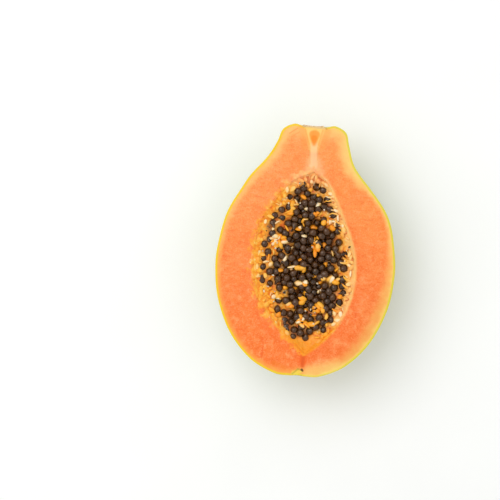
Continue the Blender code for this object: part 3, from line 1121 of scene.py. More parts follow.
def press_level(piece, level):
    """Presses whatever stands higher than a level down onto it, as the knife that halved the fruit did."""
    places = vertex_places(piece)
    start_edit(piece)
    bpy.ops.mesh.select_mode(type="VERT")
    select_verts(piece, places[:, 2] > level)
    bpy.ops.transform.resize(value=(1, 1, 0), center_override=(0, 0, level))
    bpy.ops.object.mode_set(mode="OBJECT")


bed = half_ball("pulp_bed", BED_SIDES, BED_RINGS)
shape_ball(bed, BED_SIDES, BED_RINGS, walls(BED_LEFT, BED_RIGHT), bed_ring, CUT_HEIGHT - BED_DROP)
places = vertex_places(bed)
group_where(bed, "top", places[:, 2] < CUT_HEIGHT - BED_DROP - ON_PLANE)
underside = half_ball("bed underside", BED_SIDES, BED_RINGS)
shape_ball(underside, BED_SIDES, BED_RINGS, walls(BED_LEFT, BED_RIGHT), bottom_ring, CUT_HEIGHT - BED_DROP)
join(bed, [underside])
start_edit(bed)
bpy.ops.mesh.select_all(action="SELECT")
bpy.ops.mesh.mark_seam(clear=True)
bpy.ops.mesh.mark_sharp(clear=True)
bpy.ops.mesh.remove_doubles(threshold=SAME_PLACE)
bpy.ops.mesh.normals_make_consistent(inside=False)
bpy.ops.object.mode_set(mode="OBJECT")
for size, depth in BED_LUMPS:
    uneven(bed, "top", size, depth, BED_LUMPS_DOWN)
press_level(bed, CUT_HEIGHT - BED_DROP)
bpy.ops.object.shade_smooth()
keep_number(bed, "from_cavity", distance_to(CAVITY_LINE, vertex_places(bed)[:, :2]))
print("the bed of pulp has", len(bed.data.polygons), "faces")

# %% [markdown]
# # Copying small things
# Seeds, lumps and threads are each modelled once or a few times, at a handy size. Copies are scaled,
# turned and moved to their places, and joined into one piece. Each copy has its own mesh and keeps its
# tone, a number that makes some copies lighter than others. Each vertex keeps its distance to the wall.


# %% Scatter copies of a model
# No copy comes nearer to the cut plane than this
HIGHEST = 0.0002


def scatter(name, models, placings):
    """Joins copies of the models into one piece. A placing is a matrix, a tone and a model's number."""
    copies = []
    for place, tone, kind in placings:
        copy = models[kind].copy()
        copy.data = models[kind].data.copy()
        copy.matrix_world = place
        bpy.context.scene.collection.objects.link(copy)
        keep_number(copy, "tone", numpy.full(len(copy.data.vertices), tone))
        copies.append(copy)
    piece = copies[0]
    join(piece, copies[1:])
    bpy.ops.object.transform_apply(location=True, rotation=True, scale=True)
    press_level(piece, CUT_HEIGHT - HIGHEST)
    bpy.ops.object.shade_smooth()
    piece.name = name
    piece.data.name = name
    keep_number(piece, "from_cavity", distance_to(CAVITY_LINE, vertex_places(piece)[:, :2]))
    for model in models:
        bpy.data.objects.remove(model)
    return piece


def tip_numbers(piece, axis):
    """Stores how far each vertex lies along an axis, from 0 to 1, so that tips can be paler and the foot can
    be painted darker as shade.
    """
    along = vertex_places(piece)[:, axis]
    keep_number(piece, "tip", (along - along.min()) / (along.max() - along.min()))


print("copies are joined into one piece")

# %% [markdown]
# # Seeds
# A papaya seed is oval, nearly black and wrinkled, and sits in a thin clear film. It is modelled from a
# ball with few faces, because there are hundreds of them: the ball is pulled oval, pinched at one end, and
# its points are shaken a little. The seeds that the photograph shows plainly are placed one by one. The other
# ones lie where the imported model has them, beside the placed ones, and deeper down.

# %% Three seeds
SEED_RADII = (0.0031, 0.0028, 0.0027)
SEED_SPACING = 0.0047
SEED_LEVEL = 0.0037
SEED_LAYERS = 2
SEED_LAYER_STEP = 0.0019
FLAT_FLOOR = 0.85
SEED_DARTS = 7000
SEED_DRAW = 11
SWELL_HEIGHT = 0.0005
SWELL_ACROSS = 0.009
SWELL_ALONG = 0.013
SWELL_SHIFT = 0.7
# On a seed model of radius 1, X is more than this where it is pinched, and where it is pulled out
PINCHED = 0.6
PULLED = 0.9
SEED_SHAKE = 0.045


def seed_model(number, pinch, pull):
    """A seed of radius 1. Its +X end is pinched and pulled out, as far as these two say."""
    bpy.ops.mesh.primitive_uv_sphere_add(segments=12, ring_count=8, radius=1, rotation=(0, math.pi / 2, 0))
    seed = bpy.context.object
    seed.name = f"seed model {number}"
    bpy.ops.object.transform_apply(location=False, rotation=True, scale=False)
    places = vertex_places(seed)
    start_edit(seed)
    bpy.ops.mesh.select_mode(type="VERT")
    select_verts(seed, places[:, 0] > PINCHED)
    bpy.ops.transform.resize(value=(1, pinch, pinch), center_override=(0, 0, 0))
    select_verts(seed, places[:, 0] > PULLED)
    bpy.ops.transform.translate(value=(pull, 0, 0))
    bpy.ops.mesh.select_all(action="SELECT")
    bpy.ops.transform.vertex_random(offset=SEED_SHAKE, seed=number)
    bpy.ops.object.mode_set(mode="OBJECT")
    return seed


seed_models = [seed_model(1, 0.92, 0.05), seed_model(2, 0.80, 0.14), seed_model(3, 0.58, 0.48)]
print("each seed has", len(seed_models[0].data.polygons), "faces")


# %% Where the seeds lie
def swell(x, y):
    return SWELL_HEIGHT * math.sin(x / SWELL_ACROSS + SWELL_SHIFT) * math.cos(y / SWELL_ALONG)


def heap_depth(width):
    return HEAP_DEPTH * (width / HEAP_WIDTH) ** 0.5


def seed_places():
    """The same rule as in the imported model, with the same draws, so that it gives the same places."""
    draw = random.Random(SEED_DRAW)
    longest = SEED_RADII[0]
    found = []
    for _ in range(SEED_DARTS):
        y = draw.uniform(HEAP_RIM[-1][0] + longest, HEAP_RIM[0][0] - longest)
        share = draw.random()
        turn = Euler([draw.uniform(0, math.tau) for _ in range(3)])
        stretch = [between(HEAP_RIM, y + reach) for reach in (-longest, 0, longest)]
        left = max(row[0] for row in stretch)
        right = min(row[1] for row in stretch)
        if right - left < 2 * longest:
            continue
        x = left + longest + (right - left - 2 * longest) * share
        floor_drop = PULP_LEVEL + heap_depth(right - left) * FLAT_FLOOR
        for layer in range(SEED_LAYERS):
            drop = SEED_LEVEL + layer * SEED_LAYER_STEP - swell(x, y)
            spot = Vector((x, y, CUT_HEIGHT - drop))
            clear = all((spot - other).length >= SEED_SPACING for other, _ in found)
            if drop + longest < floor_drop and clear:
                found.append((spot, turn))
                break
    return found


packed_seeds = seed_places()
print(len(packed_seeds), "seeds lie where the packed model has them")

# %% [markdown]
# # Patches of pulp
# In some places the pulp comes up between the seeds. These patches were placed from the
# photograph, and the seeds that would lie right under them are left out.

# %% Patches, and more seeds
# (x, y, length, width, turn in degrees)
PATCHES = (
    (-0.0138, 0.0258, 0.0042, 0.0038, 0),
    (-0.0102, 0.0315, 0.0080, 0.0030, 80),
    (0.0055, 0.0263, 0.0040, 0.0028, 75),
    (-0.0031, 0.0212, 0.0050, 0.0026, 40),
    (-0.0067, 0.0151, 0.0042, 0.0025, 10),
    (0.0158, 0.0216, 0.0110, 0.0042, 14),
    (0.0175, 0.0320, 0.0070, 0.0024, 60),
    (0.0072, 0.0021, 0.0072, 0.0040, 60),
    (0.0056, 0.0065, 0.0060, 0.0020, 95),
    (-0.0052, -0.0122, 0.0100, 0.0034, -8),
    (-0.0017, -0.0233, 0.0062, 0.0040, 5),
    (0.0169, -0.0192, 0.0120, 0.0034, -12),
    (0.0112, -0.0398, 0.0078, 0.0062, 30),
    (-0.0002, -0.0492, 0.0070, 0.0052, 70),
    (-0.0077, -0.0394, 0.0058, 0.0030, -35),
    (0.0001, -0.0353, 0.0050, 0.0036, 60),
    (0.0076, -0.0518, 0.0085, 0.0036, 10),
    (-0.0194, 0.0053, 0.0115, 0.0085, -10),
    (-0.0217, -0.0321, 0.0150, 0.0055, -20),
)
# Seeds placed from the photograph, from the stem end down: (x, y)
PLACED_SEEDS = (
    (0.0041, 0.0451), (-0.0022, 0.0400), (0.0025, 0.0377), (-0.0091, 0.0363), (0.0064, 0.0364),
    (0.0128, 0.0367), (-0.0033, 0.0336), (0.0019, 0.0339), (-0.0143, 0.0297), (-0.0058, 0.0305),
    (0.0013, 0.0294), (0.0063, 0.0294), (0.0148, 0.0300), (-0.0196, 0.0278), (-0.0240, 0.0233),
    (-0.0187, 0.0219), (-0.0097, 0.0216), (-0.0027, 0.0249), (0.0021, 0.0245), (0.0174, 0.0262),
    (0.0108, 0.0224), (-0.0250, 0.0179), (-0.0140, 0.0183), (-0.0096, 0.0173), (0.0063, 0.0200),
    (0.0096, 0.0164), (-0.0005, 0.0148), (0.0212, 0.0152), (-0.0246, 0.0104), (-0.0156, 0.0111),
    (-0.0080, 0.0096), (0.0104, 0.0108), (0.0177, 0.0118), (-0.0025, 0.0068), (0.0082, 0.0059),
    (0.0156, 0.0073), (-0.0297, 0.0026), (-0.0268, -0.0030), (-0.0064, 0.0033), (-0.0132, 0.0006),
    (0.0021, 0.0006), (0.0150, 0.0026), (0.0204, 0.0027), (0.0274, -0.0005), (0.0116, -0.0013),
    (-0.0072, -0.0023), (-0.0012, -0.0047), (-0.0170, -0.0048), (-0.0219, -0.0071), (0.0034, -0.0065),
    (0.0106, -0.0053), (0.0198, -0.0053), (-0.0295, -0.0135), (-0.0138, -0.0103), (-0.0066, -0.0095),
    (-0.0010, -0.0100), (0.0070, -0.0096), (0.0118, -0.0110), (0.0180, -0.0115), (0.0274, -0.0107),
    (-0.0245, -0.0165), (-0.0131, -0.0153), (-0.0079, -0.0168), (0.0032, -0.0172), (0.0079, -0.0144),
    (0.0144, -0.0156), (0.0216, -0.0158), (-0.0016, -0.0193), (0.0117, -0.0181), (0.0270, -0.0187),
    (-0.0297, -0.0231), (-0.0187, -0.0216), (-0.0123, -0.0204), (-0.0071, -0.0210), (0.0066, -0.0219),
    (-0.0239, -0.0248), (-0.0138, -0.0239), (-0.0096, -0.0247), (0.0149, -0.0238), (0.0216, -0.0248),
    (0.0273, -0.0232), (-0.0171, -0.0276), (-0.0085, -0.0290), (0.0034, -0.0270), (0.0181, -0.0280),
    (-0.0018, -0.0322), (0.0050, -0.0322), (0.0144, -0.0309), (0.0210, -0.0317), (-0.0076, -0.0335),
    (0.0094, -0.0346), (0.0174, -0.0348), (0.0261, -0.0350), (-0.0171, -0.0368), (-0.0117, -0.0364),
    (-0.0049, -0.0373), (0.0061, -0.0382), (-0.0175, -0.0428), (0.0171, -0.0398), (-0.0012, -0.0429),
    (0.0202, -0.0426), (-0.0082, -0.0454), (0.0029, -0.0464), (0.0128, -0.0463), (0.0066, -0.0482),
    (-0.0118, -0.0504), (-0.0069, -0.0507), (0.0004, -0.0543), (0.0106, -0.0535), (0.0066, -0.0566),
    (0.0163, -0.0548), (0.0000, -0.0585), (-0.0050, -0.0613),
)
PATCH_MARGIN = 0.15
PLACED_DROP = 0.0037
PLACED_SPACING = 0.0045
# Dark specks of seeds that stayed small: (x, y, length, width, turn in degrees)
SMALL_SEEDS = (
    (-0.0087, 0.0463, 0.0016, 0.0007, 60),
    (-0.0045, 0.0476, 0.0014, 0.0006, 110),
    (-0.0054, 0.0451, 0.0020, 0.0008, 40),
    (0.0267, -0.0280, 0.0022, 0.0006, 20),
    (0.0270, -0.0413, 0.0024, 0.0006, -10),
    (0.0175, -0.0495, 0.0026, 0.0008, 35),
    (0.0300, 0.0045, 0.0014, 0.0006, 30),
)
SMALL_DROP = 0.0016
SETTLED = 0.0013
FALLEN_OUT = 0.05
BESIDE_DARTS = 260
BESIDE_MOST = 40
BESIDE_REACH = (0.0043, 0.0058)
BESIDE_SUNK = (0.0003, 0.0010)
BESIDE_WALL = 0.0045
DEEP_DROP = (0.0066, 0.0092)
DEEP_SPACING = 0.0043
DEEP_DARTS = 2600
DEEP_FROM_ENDS = 0.004
DEEP_FROM_SIDES = 0.002
SEED_ORDER = 23


def patch_reach(x, y):
    """How deep inside a patch of pulp a point lies. It is 0 on a patch's edge, and below 0 outside of all."""
    inside = -1.0
    for patch_x, patch_y, length, width, turn in PATCHES:
        offset = Matrix.Rotation(-math.radians(turn), 2) @ Vector((x - patch_x, y - patch_y))
        inside = max(inside, 1 - math.hypot(offset.x / (length / 2), offset.y / (width / 2)))
    return inside


draw = random.Random(SEED_ORDER)
top_seeds = [
    (spot - Vector((0, 0, draw.uniform(0, SETTLED))), turn)
    for spot, turn in packed_seeds
    if patch_reach(spot.x, spot.y) < -PATCH_MARGIN
    and all((spot.xy - Vector(placed)).length > PLACED_SPACING for placed in PLACED_SEEDS)
    and draw.random() > FALLEN_OUT
]
for x, y in PLACED_SEEDS:
    turn = Euler([draw.uniform(0, math.tau) for _ in range(3)])
    heap_left, heap_right = between(HEAP_RIM, y)
    settled = draw.uniform(0, SETTLED) if heap_left < x < heap_right else 0
    top_seeds.append((Vector((x, y, CUT_HEIGHT - PLACED_DROP - settled)), turn))

# More seeds touch the placed ones and lie a little deeper in the pulp
beside = []
for _ in range(BESIDE_DARTS):
    heading = draw.uniform(0, math.tau)
    reach = draw.uniform(*BESIDE_REACH)
    near_x, near_y = draw.choice(PLACED_SEEDS)
    x = near_x + reach * math.cos(heading)
    y = near_y + reach * math.sin(heading)
    left, right = between(CAVITY_RIM, y)
    spot = Vector((x, y, CUT_HEIGHT - PLACED_DROP - draw.uniform(*BESIDE_SUNK)))
    turn = Euler([draw.uniform(0, math.tau) for _ in range(3)])
    clear = all((spot.xy - other.xy).length >= BESIDE_REACH[0] for other, _ in top_seeds + beside)
    off_wall = left + BESIDE_WALL < x < right - BESIDE_WALL and patch_reach(x, y) < -PATCH_MARGIN
    if clear and off_wall and len(beside) < BESIDE_MOST:
        beside.append((spot, turn))
top_seeds += beside
print(len(beside), "seeds lie beside the placed ones")
deep_seeds = []
for _ in range(DEEP_DARTS):
    y = draw.uniform(HEAP_RIM[-1][0] + DEEP_FROM_ENDS, HEAP_RIM[0][0] - DEEP_FROM_ENDS)
    left, right = between(HEAP_RIM, y)
    x = draw.uniform(left + DEEP_FROM_SIDES, right - DEEP_FROM_SIDES)
    spot = Vector((x, y, CUT_HEIGHT - draw.uniform(*DEEP_DROP)))
    turn = Euler([draw.uniform(0, math.tau) for _ in range(3)])
    if all((spot - other).length >= DEEP_SPACING for other, _ in top_seeds + deep_seeds):
        deep_seeds.append((spot, turn))
print(len(top_seeds), "seeds on top and", len(deep_seeds), "deeper down")

# The bed keeps how crowded the seeds are round each of its points, because little light gets in there
SEED_SHADE = 0.0036
seed_spots = numpy.array([spot.xy for spot, _ in top_seeds])
gaps = numpy.linalg.norm(vertex_places(bed)[:, None, :2] - seed_spots[None], axis=2)
keep_number(bed, "crowd", numpy.exp(-((gaps / SEED_SHADE) ** 2)).sum(axis=1))

# %% Copy the seeds
SEED_SIZES = (0.96, 1.14)
SEED_STRETCHES = (0.90, 1.02)
# How often each of the three models is drawn
SEED_SHARES = (4, 4, 2)

placings = []
for spot, turn in top_seeds + deep_seeds:
    size = draw.uniform(*SEED_SIZES)
    radii = [radius * size * draw.uniform(*SEED_STRETCHES) for radius in SEED_RADII]
    kind = draw.choices((0, 1, 2), SEED_SHARES)[0]
    placings.append((Matrix.LocRotScale(spot, turn, radii), draw.random(), kind))
for x, y, length, width, turn in SMALL_SEEDS:
    spot = Vector((x, y, CUT_HEIGHT - SMALL_DROP))
    heading = Euler((0, 0, math.radians(turn)))
    placings.append((Matrix.LocRotScale(spot, heading, (length, width, width)), 0, 2))
seeds = scatter("papaya_seeds", seed_models, placings)
print("the seeds have", len(seeds.data.polygons), "faces")

# %% [markdown]
# # Lumps and threads of pulp
# The pulp breaks into soft lumps with pale tips, and into threads that held the seeds to the wall. A lump
# starts as a ball of twenty faces whose top is drawn in and bent, and a Subdivision Surface makes it soft.
# A thread starts as a ring of six points that is extruded step by step, and gets thinner and bends on
# the way.


# %% Five models of lumps
LUMP_RADIUS = 0.56
LUMP_TOP = 0.6
LUMP_SHAKE = 0.20


def lump_model(number, taper, lean, flatten):
    """A lump 1 high that stands on the origin. Its top is drawn in and leans, and its sides are flat."""
    bpy.ops.mesh.primitive_ico_sphere_add(subdivisions=1, radius=LUMP_RADIUS, location=(0, 0, 0.5))
    lump = bpy.context.object
    lump.name = f"lump model {number}"
    bpy.ops.object.transform_apply(location=True, rotation=False, scale=False)
    places = vertex_places(lump)
    start_edit(lump)
    bpy.ops.mesh.select_mode(type="VERT")
    bpy.ops.mesh.select_all(action="SELECT")
    bpy.ops.transform.resize(value=(1, flatten, 1), center_override=(0, 0, 0))
    select_verts(lump, places[:, 2] > LUMP_TOP)
    bpy.ops.transform.resize(value=(taper, taper, 1), center_override=(0, 0, 0.5))
    bpy.ops.transform.translate(value=(lean, 0, 0))
    bpy.ops.mesh.select_all(action="SELECT")
    bpy.ops.transform.vertex_random(offset=LUMP_SHAKE, seed=number)
    bpy.ops.object.mode_set(mode="OBJECT")
    soft = lump.modifiers.new("soft", "SUBSURF")
    soft.levels = 1
    apply_modifiers(lump)
    tip_numbers(lump, 2)
    return lump


lump_models = [
    lump_model(1, 0.9, 0.1, 0.9),
    lump_model(2, 0.7, 0.3, 0.6),
    lump_model(3, 0.8, 0.2, 0.8),
    lump_model(4, 0.9, 0.0, 0.5),
    lump_model(5, 0.6, 0.1, 1.0),
]
print("each lump has", len(lump_models[0].data.polygons), "faces")


# %% Three models of threads
THREAD_NARROWING = 0.62


def thread_model(number, width, bend, steps=7):
    """A thread 1 long that starts at the origin and runs along +X to a thin tip."""
    across = (0, math.pi / 2, 0)
    bpy.ops.mesh.primitive_circle_add(vertices=6, radius=width / 2, fill_type="NGON", rotation=across)
    thread = bpy.context.object
    thread.name = f"thread model {number}"
    bpy.ops.object.transform_apply(location=False, rotation=True, scale=False)
    start_edit(thread)
    bpy.ops.mesh.select_mode(type="FACE")
    bpy.ops.mesh.select_all(action="SELECT")
    for step in range(steps):
        along = (step + 1) / steps
        sideways = bend * math.sin(along * math.pi) / steps
        moved = {"value": (1 / steps, sideways, -abs(sideways) / 2)}
        bpy.ops.mesh.extrude_region_move(TRANSFORM_OT_translate=moved)
        narrower = 1 - THREAD_NARROWING * along / 2
        height = (along, 0, 0)
        bpy.ops.transform.resize(value=(1, narrower, narrower), center_override=height)
    select_edges(thread, lambda edge: edge.is_boundary)
    bpy.ops.mesh.edge_face_add()
    bpy.ops.mesh.select_all(action="SELECT")
    bpy.ops.mesh.normals_make_consistent(inside=False)
    bpy.ops.object.mode_set(mode="OBJECT")
    tip_numbers(thread, 0)
    return thread


thread_models = [thread_model(1, 0.34, 0.6), thread_model(2, 0.22, -0.9), thread_model(3, 0.42, 0.3)]
print("each thread has", len(thread_models[0].data.polygons), "faces")

# %% [markdown]
# # Where the pulp stands
# Lumps crowd the band between the cavity's wall and the seeds, which is widest on the left and at the top.
# Fewer of them stand in the gaps between seeds. Threads reach in from the walls, most of them from the
# right one and from the top.


# %% Place the lumps
def bed_drop(x, y):
    """How far the dish of pulp lies below the cut face at a point."""
    left, right = between(CAVITY_RIM, y)
    reach = (right - left) / 2
    if reach <= 0:
        return BED_DROP
    side = (x - (left + right) / 2) / reach
    across, down = BED_RIGHT if side > 0 else BED_LEFT
    cosine = min(abs(side), 1) ** (across / 2)
    sine = math.sqrt(1 - cosine**2)
    return BED_DROP + BED_DEPTH * (2 * reach / CAVITY_WIDTH) ** DEPTH_TAPER * sine ** (2 / down)


def standing(x, y, drop, size, height, spread):
    """A placing for a lump that stands at a point, leaning by a random amount up to the spread."""
    tilt = Euler((draw.uniform(-spread, spread), draw.uniform(-spread, spread), draw.uniform(0, math.tau)))
    longer = draw.uniform(*LUMP_LENGTHS)
    return Matrix.LocRotScale(Vector((x, y, CUT_HEIGHT - drop)), tilt, Vector((size * longer, size, height)))


LUMP_DARTS = 9000
BAND_SPACING = 0.0029
GAP_SPACING = 0.0060
FROM_SEED = 0.0034
SUNK = 0.0010
LUMP_HEIGHTS = (0.0020, 0.0042)
LUMP_SIZES = (0.0030, 0.0054)
LUMP_LEAN = 0.35
HEAP_DROP = 0.0060
LUMP_LENGTHS = (1.0, 1.6)
# How far lumps stay from the cavity's edges
FROM_TOP = 0.003
FROM_BOTTOM = 0.012
FROM_LEFT = 0.0014
FROM_RIGHT = 0.0012
PULP_ORDER = 41

draw = random.Random(PULP_ORDER)
lumps = []
lump_spots = []
for _ in range(LUMP_DARTS):
    y = draw.uniform(CAVITY_RIM[-1][0] + FROM_BOTTOM, CAVITY_RIM[0][0] - FROM_TOP)
    left, right = between(CAVITY_RIM, y)
    x = draw.uniform(left + FROM_LEFT, right - FROM_RIGHT)
    heap_left, heap_right = between(HEAP_RIM, y)
    in_heap = heap_left < x < heap_right and y < HEAP_RIM[0][0]
    spacing = GAP_SPACING if in_heap else BAND_SPACING
    spot = Vector((x, y))
    if any((spot - other).length < spacing for other in lump_spots):
        continue
    if any((spot - seed.xy).length < FROM_SEED for seed, _ in top_seeds):
        continue
    drop = bed_drop(x, y)
    if in_heap:
        drop = min(drop, HEAP_DROP)
    height = min(draw.uniform(*LUMP_HEIGHTS), drop - HIGHEST) + SUNK
    size = draw.uniform(*LUMP_SIZES)
    lumps.append((standing(x, y, drop + SUNK, size, height, LUMP_LEAN), draw.random(), draw.randrange(5)))
    lump_spots.append(spot)
print(len(lumps), "lumps stand in the pulp")

# %% Build the patches out of lumps
PATCH_STEP = 0.0024
PATCH_ROW = 0.0030
PATCH_DROP = 0.0052
PATCH_SHIFT = 0.0004
PATCH_LOWER = (0.0003, 0.0012)
PATCH_LEAN = 0.2
# A lump is this much wider than its row, up to the widest
PATCH_OVERLAP = 1.6
PATCH_WIDEST = 0.0058

for patch_x, patch_y, length, width, turn in PATCHES:
    steps = max(round(length / PATCH_STEP), 2)
    rows = max(round(width / PATCH_ROW), 1)
    for step in range(steps):
        for row in range(rows):
            along = ((step + 0.5) / steps - 0.5) * length
            aside = ((row + 0.5) / rows - 0.5) * width
            if math.hypot(along / (length / 2), aside / (width / 2)) > 1:
                continue
            shifted = Matrix.Rotation(math.radians(turn), 2) @ Vector((along, aside))
            x = patch_x + shifted.x + draw.uniform(-PATCH_SHIFT, PATCH_SHIFT)
            y = patch_y + shifted.y + draw.uniform(-PATCH_SHIFT, PATCH_SHIFT)
            size = min(width / rows * PATCH_OVERLAP, PATCH_WIDEST)
            height = PATCH_DROP - draw.uniform(*PATCH_LOWER)
            placing = standing(x, y, PATCH_DROP, size, height, PATCH_LEAN)
            lumps.append((placing, draw.random(), draw.randrange(5)))
pulp_lumps = scatter("pulp_lumps", lump_models, lumps)
print("the lumps have", len(pulp_lumps.data.polygons), "faces")

# %% Place the threads
# What a thread is drawn from: (drop, dip, way it faces, turn, length, width as a share of the length)
RIGHT_RANGES = ((0.0014, 0.0034), (-0.40, -0.02), math.pi, (-0.7, 0.5), (0.0040, 0.0095), (0.6, 1.2))
LEFT_RANGES = ((0.0016, 0.0028), (-0.1, 0.2), 0, (-0.8, 0.8), (0.0035, 0.0060), (0.7, 1.3))
TOP_RANGES = ((0.0014, 0.0026), (0.02, 0.3), -math.pi / 2, (-0.5, 0.5), (0.0045, 0.0090), (0.4, 0.8))
# (how many, stations along Y, 0 for the left wall or 1 for the right one, place beside it, ranges)
WALL_THREADS = (
    (44, (-0.052, 0.045), 1, -0.0002, RIGHT_RANGES),
    (22, (-0.048, 0.040), 0, 0.0008, LEFT_RANGES),
)
TOP_THREADS = 26
# A thread at the top starts this share of the way along the rim, and lower the nearer it is to a side
TOP_START = 0.04
TOP_LOWER = 0.12
IN_FROM_SIDE = 0.0006
BELOW_EDGE = 0.0010
ROLLS = (-0.5, 0.5)
FLATTER = 0.7


def thread_from(x, y, drops, dips, facing, turns, lengths, slimness):
    """The placing, the tone and the model of a thread that starts at a point near the wall."""
    start = Vector((x, y, CUT_HEIGHT - draw.uniform(*drops)))
    heading = Euler((draw.uniform(*ROLLS), draw.uniform(*dips), facing + draw.uniform(*turns)))
    length = draw.uniform(*lengths)
    width = length * draw.uniform(*slimness)
    placing = Matrix.LocRotScale(start, heading, (length, width, width * FLATTER))
    return placing, draw.random(), draw.randrange(3)


threads = []
for count, stations, wall, beside_it, ranges in WALL_THREADS:
    for _ in range(count):
        y = draw.uniform(*stations)
        x = between(CAVITY_RIM, y)[wall] + beside_it
        threads.append(thread_from(x, y, *ranges))
for number in range(TOP_THREADS):
    share = (number + draw.random()) / TOP_THREADS
    station, left, right = at_share(CAVITY_RIM, TOP_START + TOP_LOWER * abs(share - 0.5))
    x = left + IN_FROM_SIDE if share < 0.5 else right - IN_FROM_SIDE
    threads.append(thread_from(x, station - BELOW_EDGE, *TOP_RANGES))
pulp_threads = scatter("pulp_threads", thread_models, threads)
print(len(threads), "threads have", len(pulp_threads.data.polygons), "faces")

# %% [markdown]
# # Pale flecks
# Seeds that never grew are left as small cream-white flecks between the others. A fleck is a ball of
# twenty faces, pulled long.

# %% Flecks
FLECKS = 32
FLECK_SIZES = (0.0009, 0.0015)
FLECK_STRETCH = 1.7
FLECK_STATIONS = (-0.054, 0.048)
FLECKS_ON_LEFT = 0.45
FLECK_FROM_LEFT = 0.003
FLECK_FROM_RIGHT = 0.004
FLECK_INTO_HEAP = 0.001
FLECK_FROM_SEED = 0.0024
FLECK_ABOVE_BED = 0.0032
FLECK_LEAST_DROP = 0.0014

bpy.ops.mesh.primitive_ico_sphere_add(subdivisions=1, radius=0.5)
fleck = bpy.context.object
fleck.name = "fleck model"
fleck_places = []
while len(fleck_places) < FLECKS:
    y = draw.uniform(*FLECK_STATIONS)
    left, right = between(CAVITY_RIM, y)
    heap_left, _ = between(HEAP_RIM, y)
    if draw.random() < FLECKS_ON_LEFT:
        x = draw.uniform(left + FLECK_FROM_LEFT, heap_left + FLECK_INTO_HEAP)
    else:
        x = draw.uniform(heap_left, right - FLECK_FROM_RIGHT)
    if any((Vector((x, y)) - seed.xy).length < FLECK_FROM_SEED for seed, _ in top_seeds):
        continue
    drop = max(bed_drop(x, y) - FLECK_ABOVE_BED, FLECK_LEAST_DROP)
    turn = Euler([draw.uniform(0, math.tau) for _ in range(3)])
    size = draw.uniform(*FLECK_SIZES)
    spot = Vector((x, y, CUT_HEIGHT - drop))
    long_size = (size * FLECK_STRETCH, size, size)
    fleck_places.append((Matrix.LocRotScale(spot, turn, long_size), draw.random(), 0))
flecks = scatter("pale_flecks", [fleck], fleck_places)
print(len(fleck_places), "pale flecks")

# %% [markdown]
# # Finishes inside the cavity
# The pulp is wet and see-through like jelly, yellow-orange with cream tips and deep orange in its ridge
# pattern, and a painted shade darkens the foot of each lump and thread. The seeds are nearly black, and the
# clear film round them gives each a soft grey shine. The flecks are matt and creamy.

# %% Wet pulp
PULP_GRAIN = 0.0020


def wet_pulp(name):
    """The jelly-like tissue that holds the seeds. Returns what new_material does, and the place's axes."""
    made, tree, shader, place = new_material(
        name,
        0.34,
        1.36,
        Subsurface_Weight=0.1,
        Subsurface_Radius=(0.003, 0.0017, 0.0006),
        Subsurface_Scale=0.5,
        Coat_Weight=0.3,
        Coat_Roughness=0.22,
        Coat_IOR=1.34,
    )
    return made, tree, shader, place, add(tree, "ShaderNodeSeparateXYZ", {0: place})


pulp_finish, tree, shader, place, axes = wet_pulp("wet papaya pulp")
tip = add(tree, "ShaderNodeAttribute", attribute_name="tip").outputs["Fac"]
tone = add(tree, "ShaderNodeAttribute", attribute_name="tone").outputs["Fac"]
shades = add(
    tree,
    "ShaderNodeValToRGB",
    {"Fac": tone},
    stops=(
        (0.0, linear("#f99416")),
        (0.35, linear("#feae2c")),
        (0.70, linear("#ffbe4a")),
        (1.0, linear("#ffd488")),
    ),
)
grain = add(tree, "ShaderNodeTexNoise", {"Vector": place, "Scale": 1 / PULP_GRAIN, "Detail": 2})
colour = coat(tree, shades, "#ef9018", (grain, 0.50, 0.75, 0, 0.5))
colour = beside_wall(tree, axes, colour)
colour = coat(tree, colour, "#fdeccb", (tip, 0.50, 0.95, 0, 0.75), (tone, 0.58, 1.0))
# Painted shade: the foot of each lump and the root of each thread are darkened to deep orange
colour = coat(tree, colour, "#d4580c", (tip, 0.45, 0.10, 0, 0.75))
tree.links.new(colour, shader.inputs["Base Color"])
soft = add(tree, "ShaderNodeBump", {"Height": grain, "Strength": 0.35, "Distance": 0.0006})
tree.links.new(soft.outputs[0], shader.inputs["Normal"])
print(pulp_finish.name, "has", len(tree.nodes), "nodes")

# %% The bed's finish
bed_finish, tree, shader, place, axes = wet_pulp("wet bed of papaya pulp")
ridges, shades = ridged(tree, place)
crowd = add(tree, "ShaderNodeAttribute", attribute_name="crowd").outputs["Fac"]
colour = beside_wall(tree, axes, shades)
# Painted shade: the bed is darkened where seeds crowd round it
colour = coat(tree, colour, "#7c3c0c", (crowd, 0.65, 1.5, 0, 0.9))
tree.links.new(colour, shader.inputs["Base Color"])
soft = add(tree, "ShaderNodeBump", {"Height": ridges, "Strength": 0.8, "Distance": 0.0014})
tree.links.new(soft.outputs[0], shader.inputs["Normal"])
print(bed_finish.name, "has", len(tree.nodes), "nodes")

# %% Seeds in their film
WRINKLE_SIZE = 0.0009
FILM_SIZE = 0.0022

seed_finish, tree, shader, place = new_material(
    "papaya seed in its clear film",
    0.20,
    1.40,
    Coat_Weight=0.8,
    Coat_Roughness=0.17,
    Coat_IOR=1.55,
    Specular_IOR_Level=0.65,
    Specular_Tint=linear("#dca468"),
)
tone = add(tree, "ShaderNodeAttribute", attribute_name="tone").outputs["Fac"]
body_colour = coat(tree, "#1a0b02", "#42240a", tone)
wrinkles = add(
    tree, "ShaderNodeTexNoise", {"Vector": place, "Scale": 1 / WRINKLE_SIZE, "Detail": 2, "Distortion": 0.6}
)
colour = coat(tree, body_colour, "#563410", (wrinkles, 0.45, 0.75, 0, 0.6))
film = add(tree, "ShaderNodeTexNoise", {"Vector": place, "Scale": 1 / FILM_SIZE, "Detail": 1})
colour = coat(tree, colour, "#664018", (film, 0.52, 0.72, 0, 0.5))
tree.links.new(colour, shader.inputs["Base Color"])
swollen = add(tree, "ShaderNodeBump", {"Height": film, "Strength": 0.3, "Distance": 0.0010})
rough = add(
    tree, "ShaderNodeBump", {"Height": wrinkles, "Strength": 0.5, "Distance": 0.0005, "Normal": swollen}
)
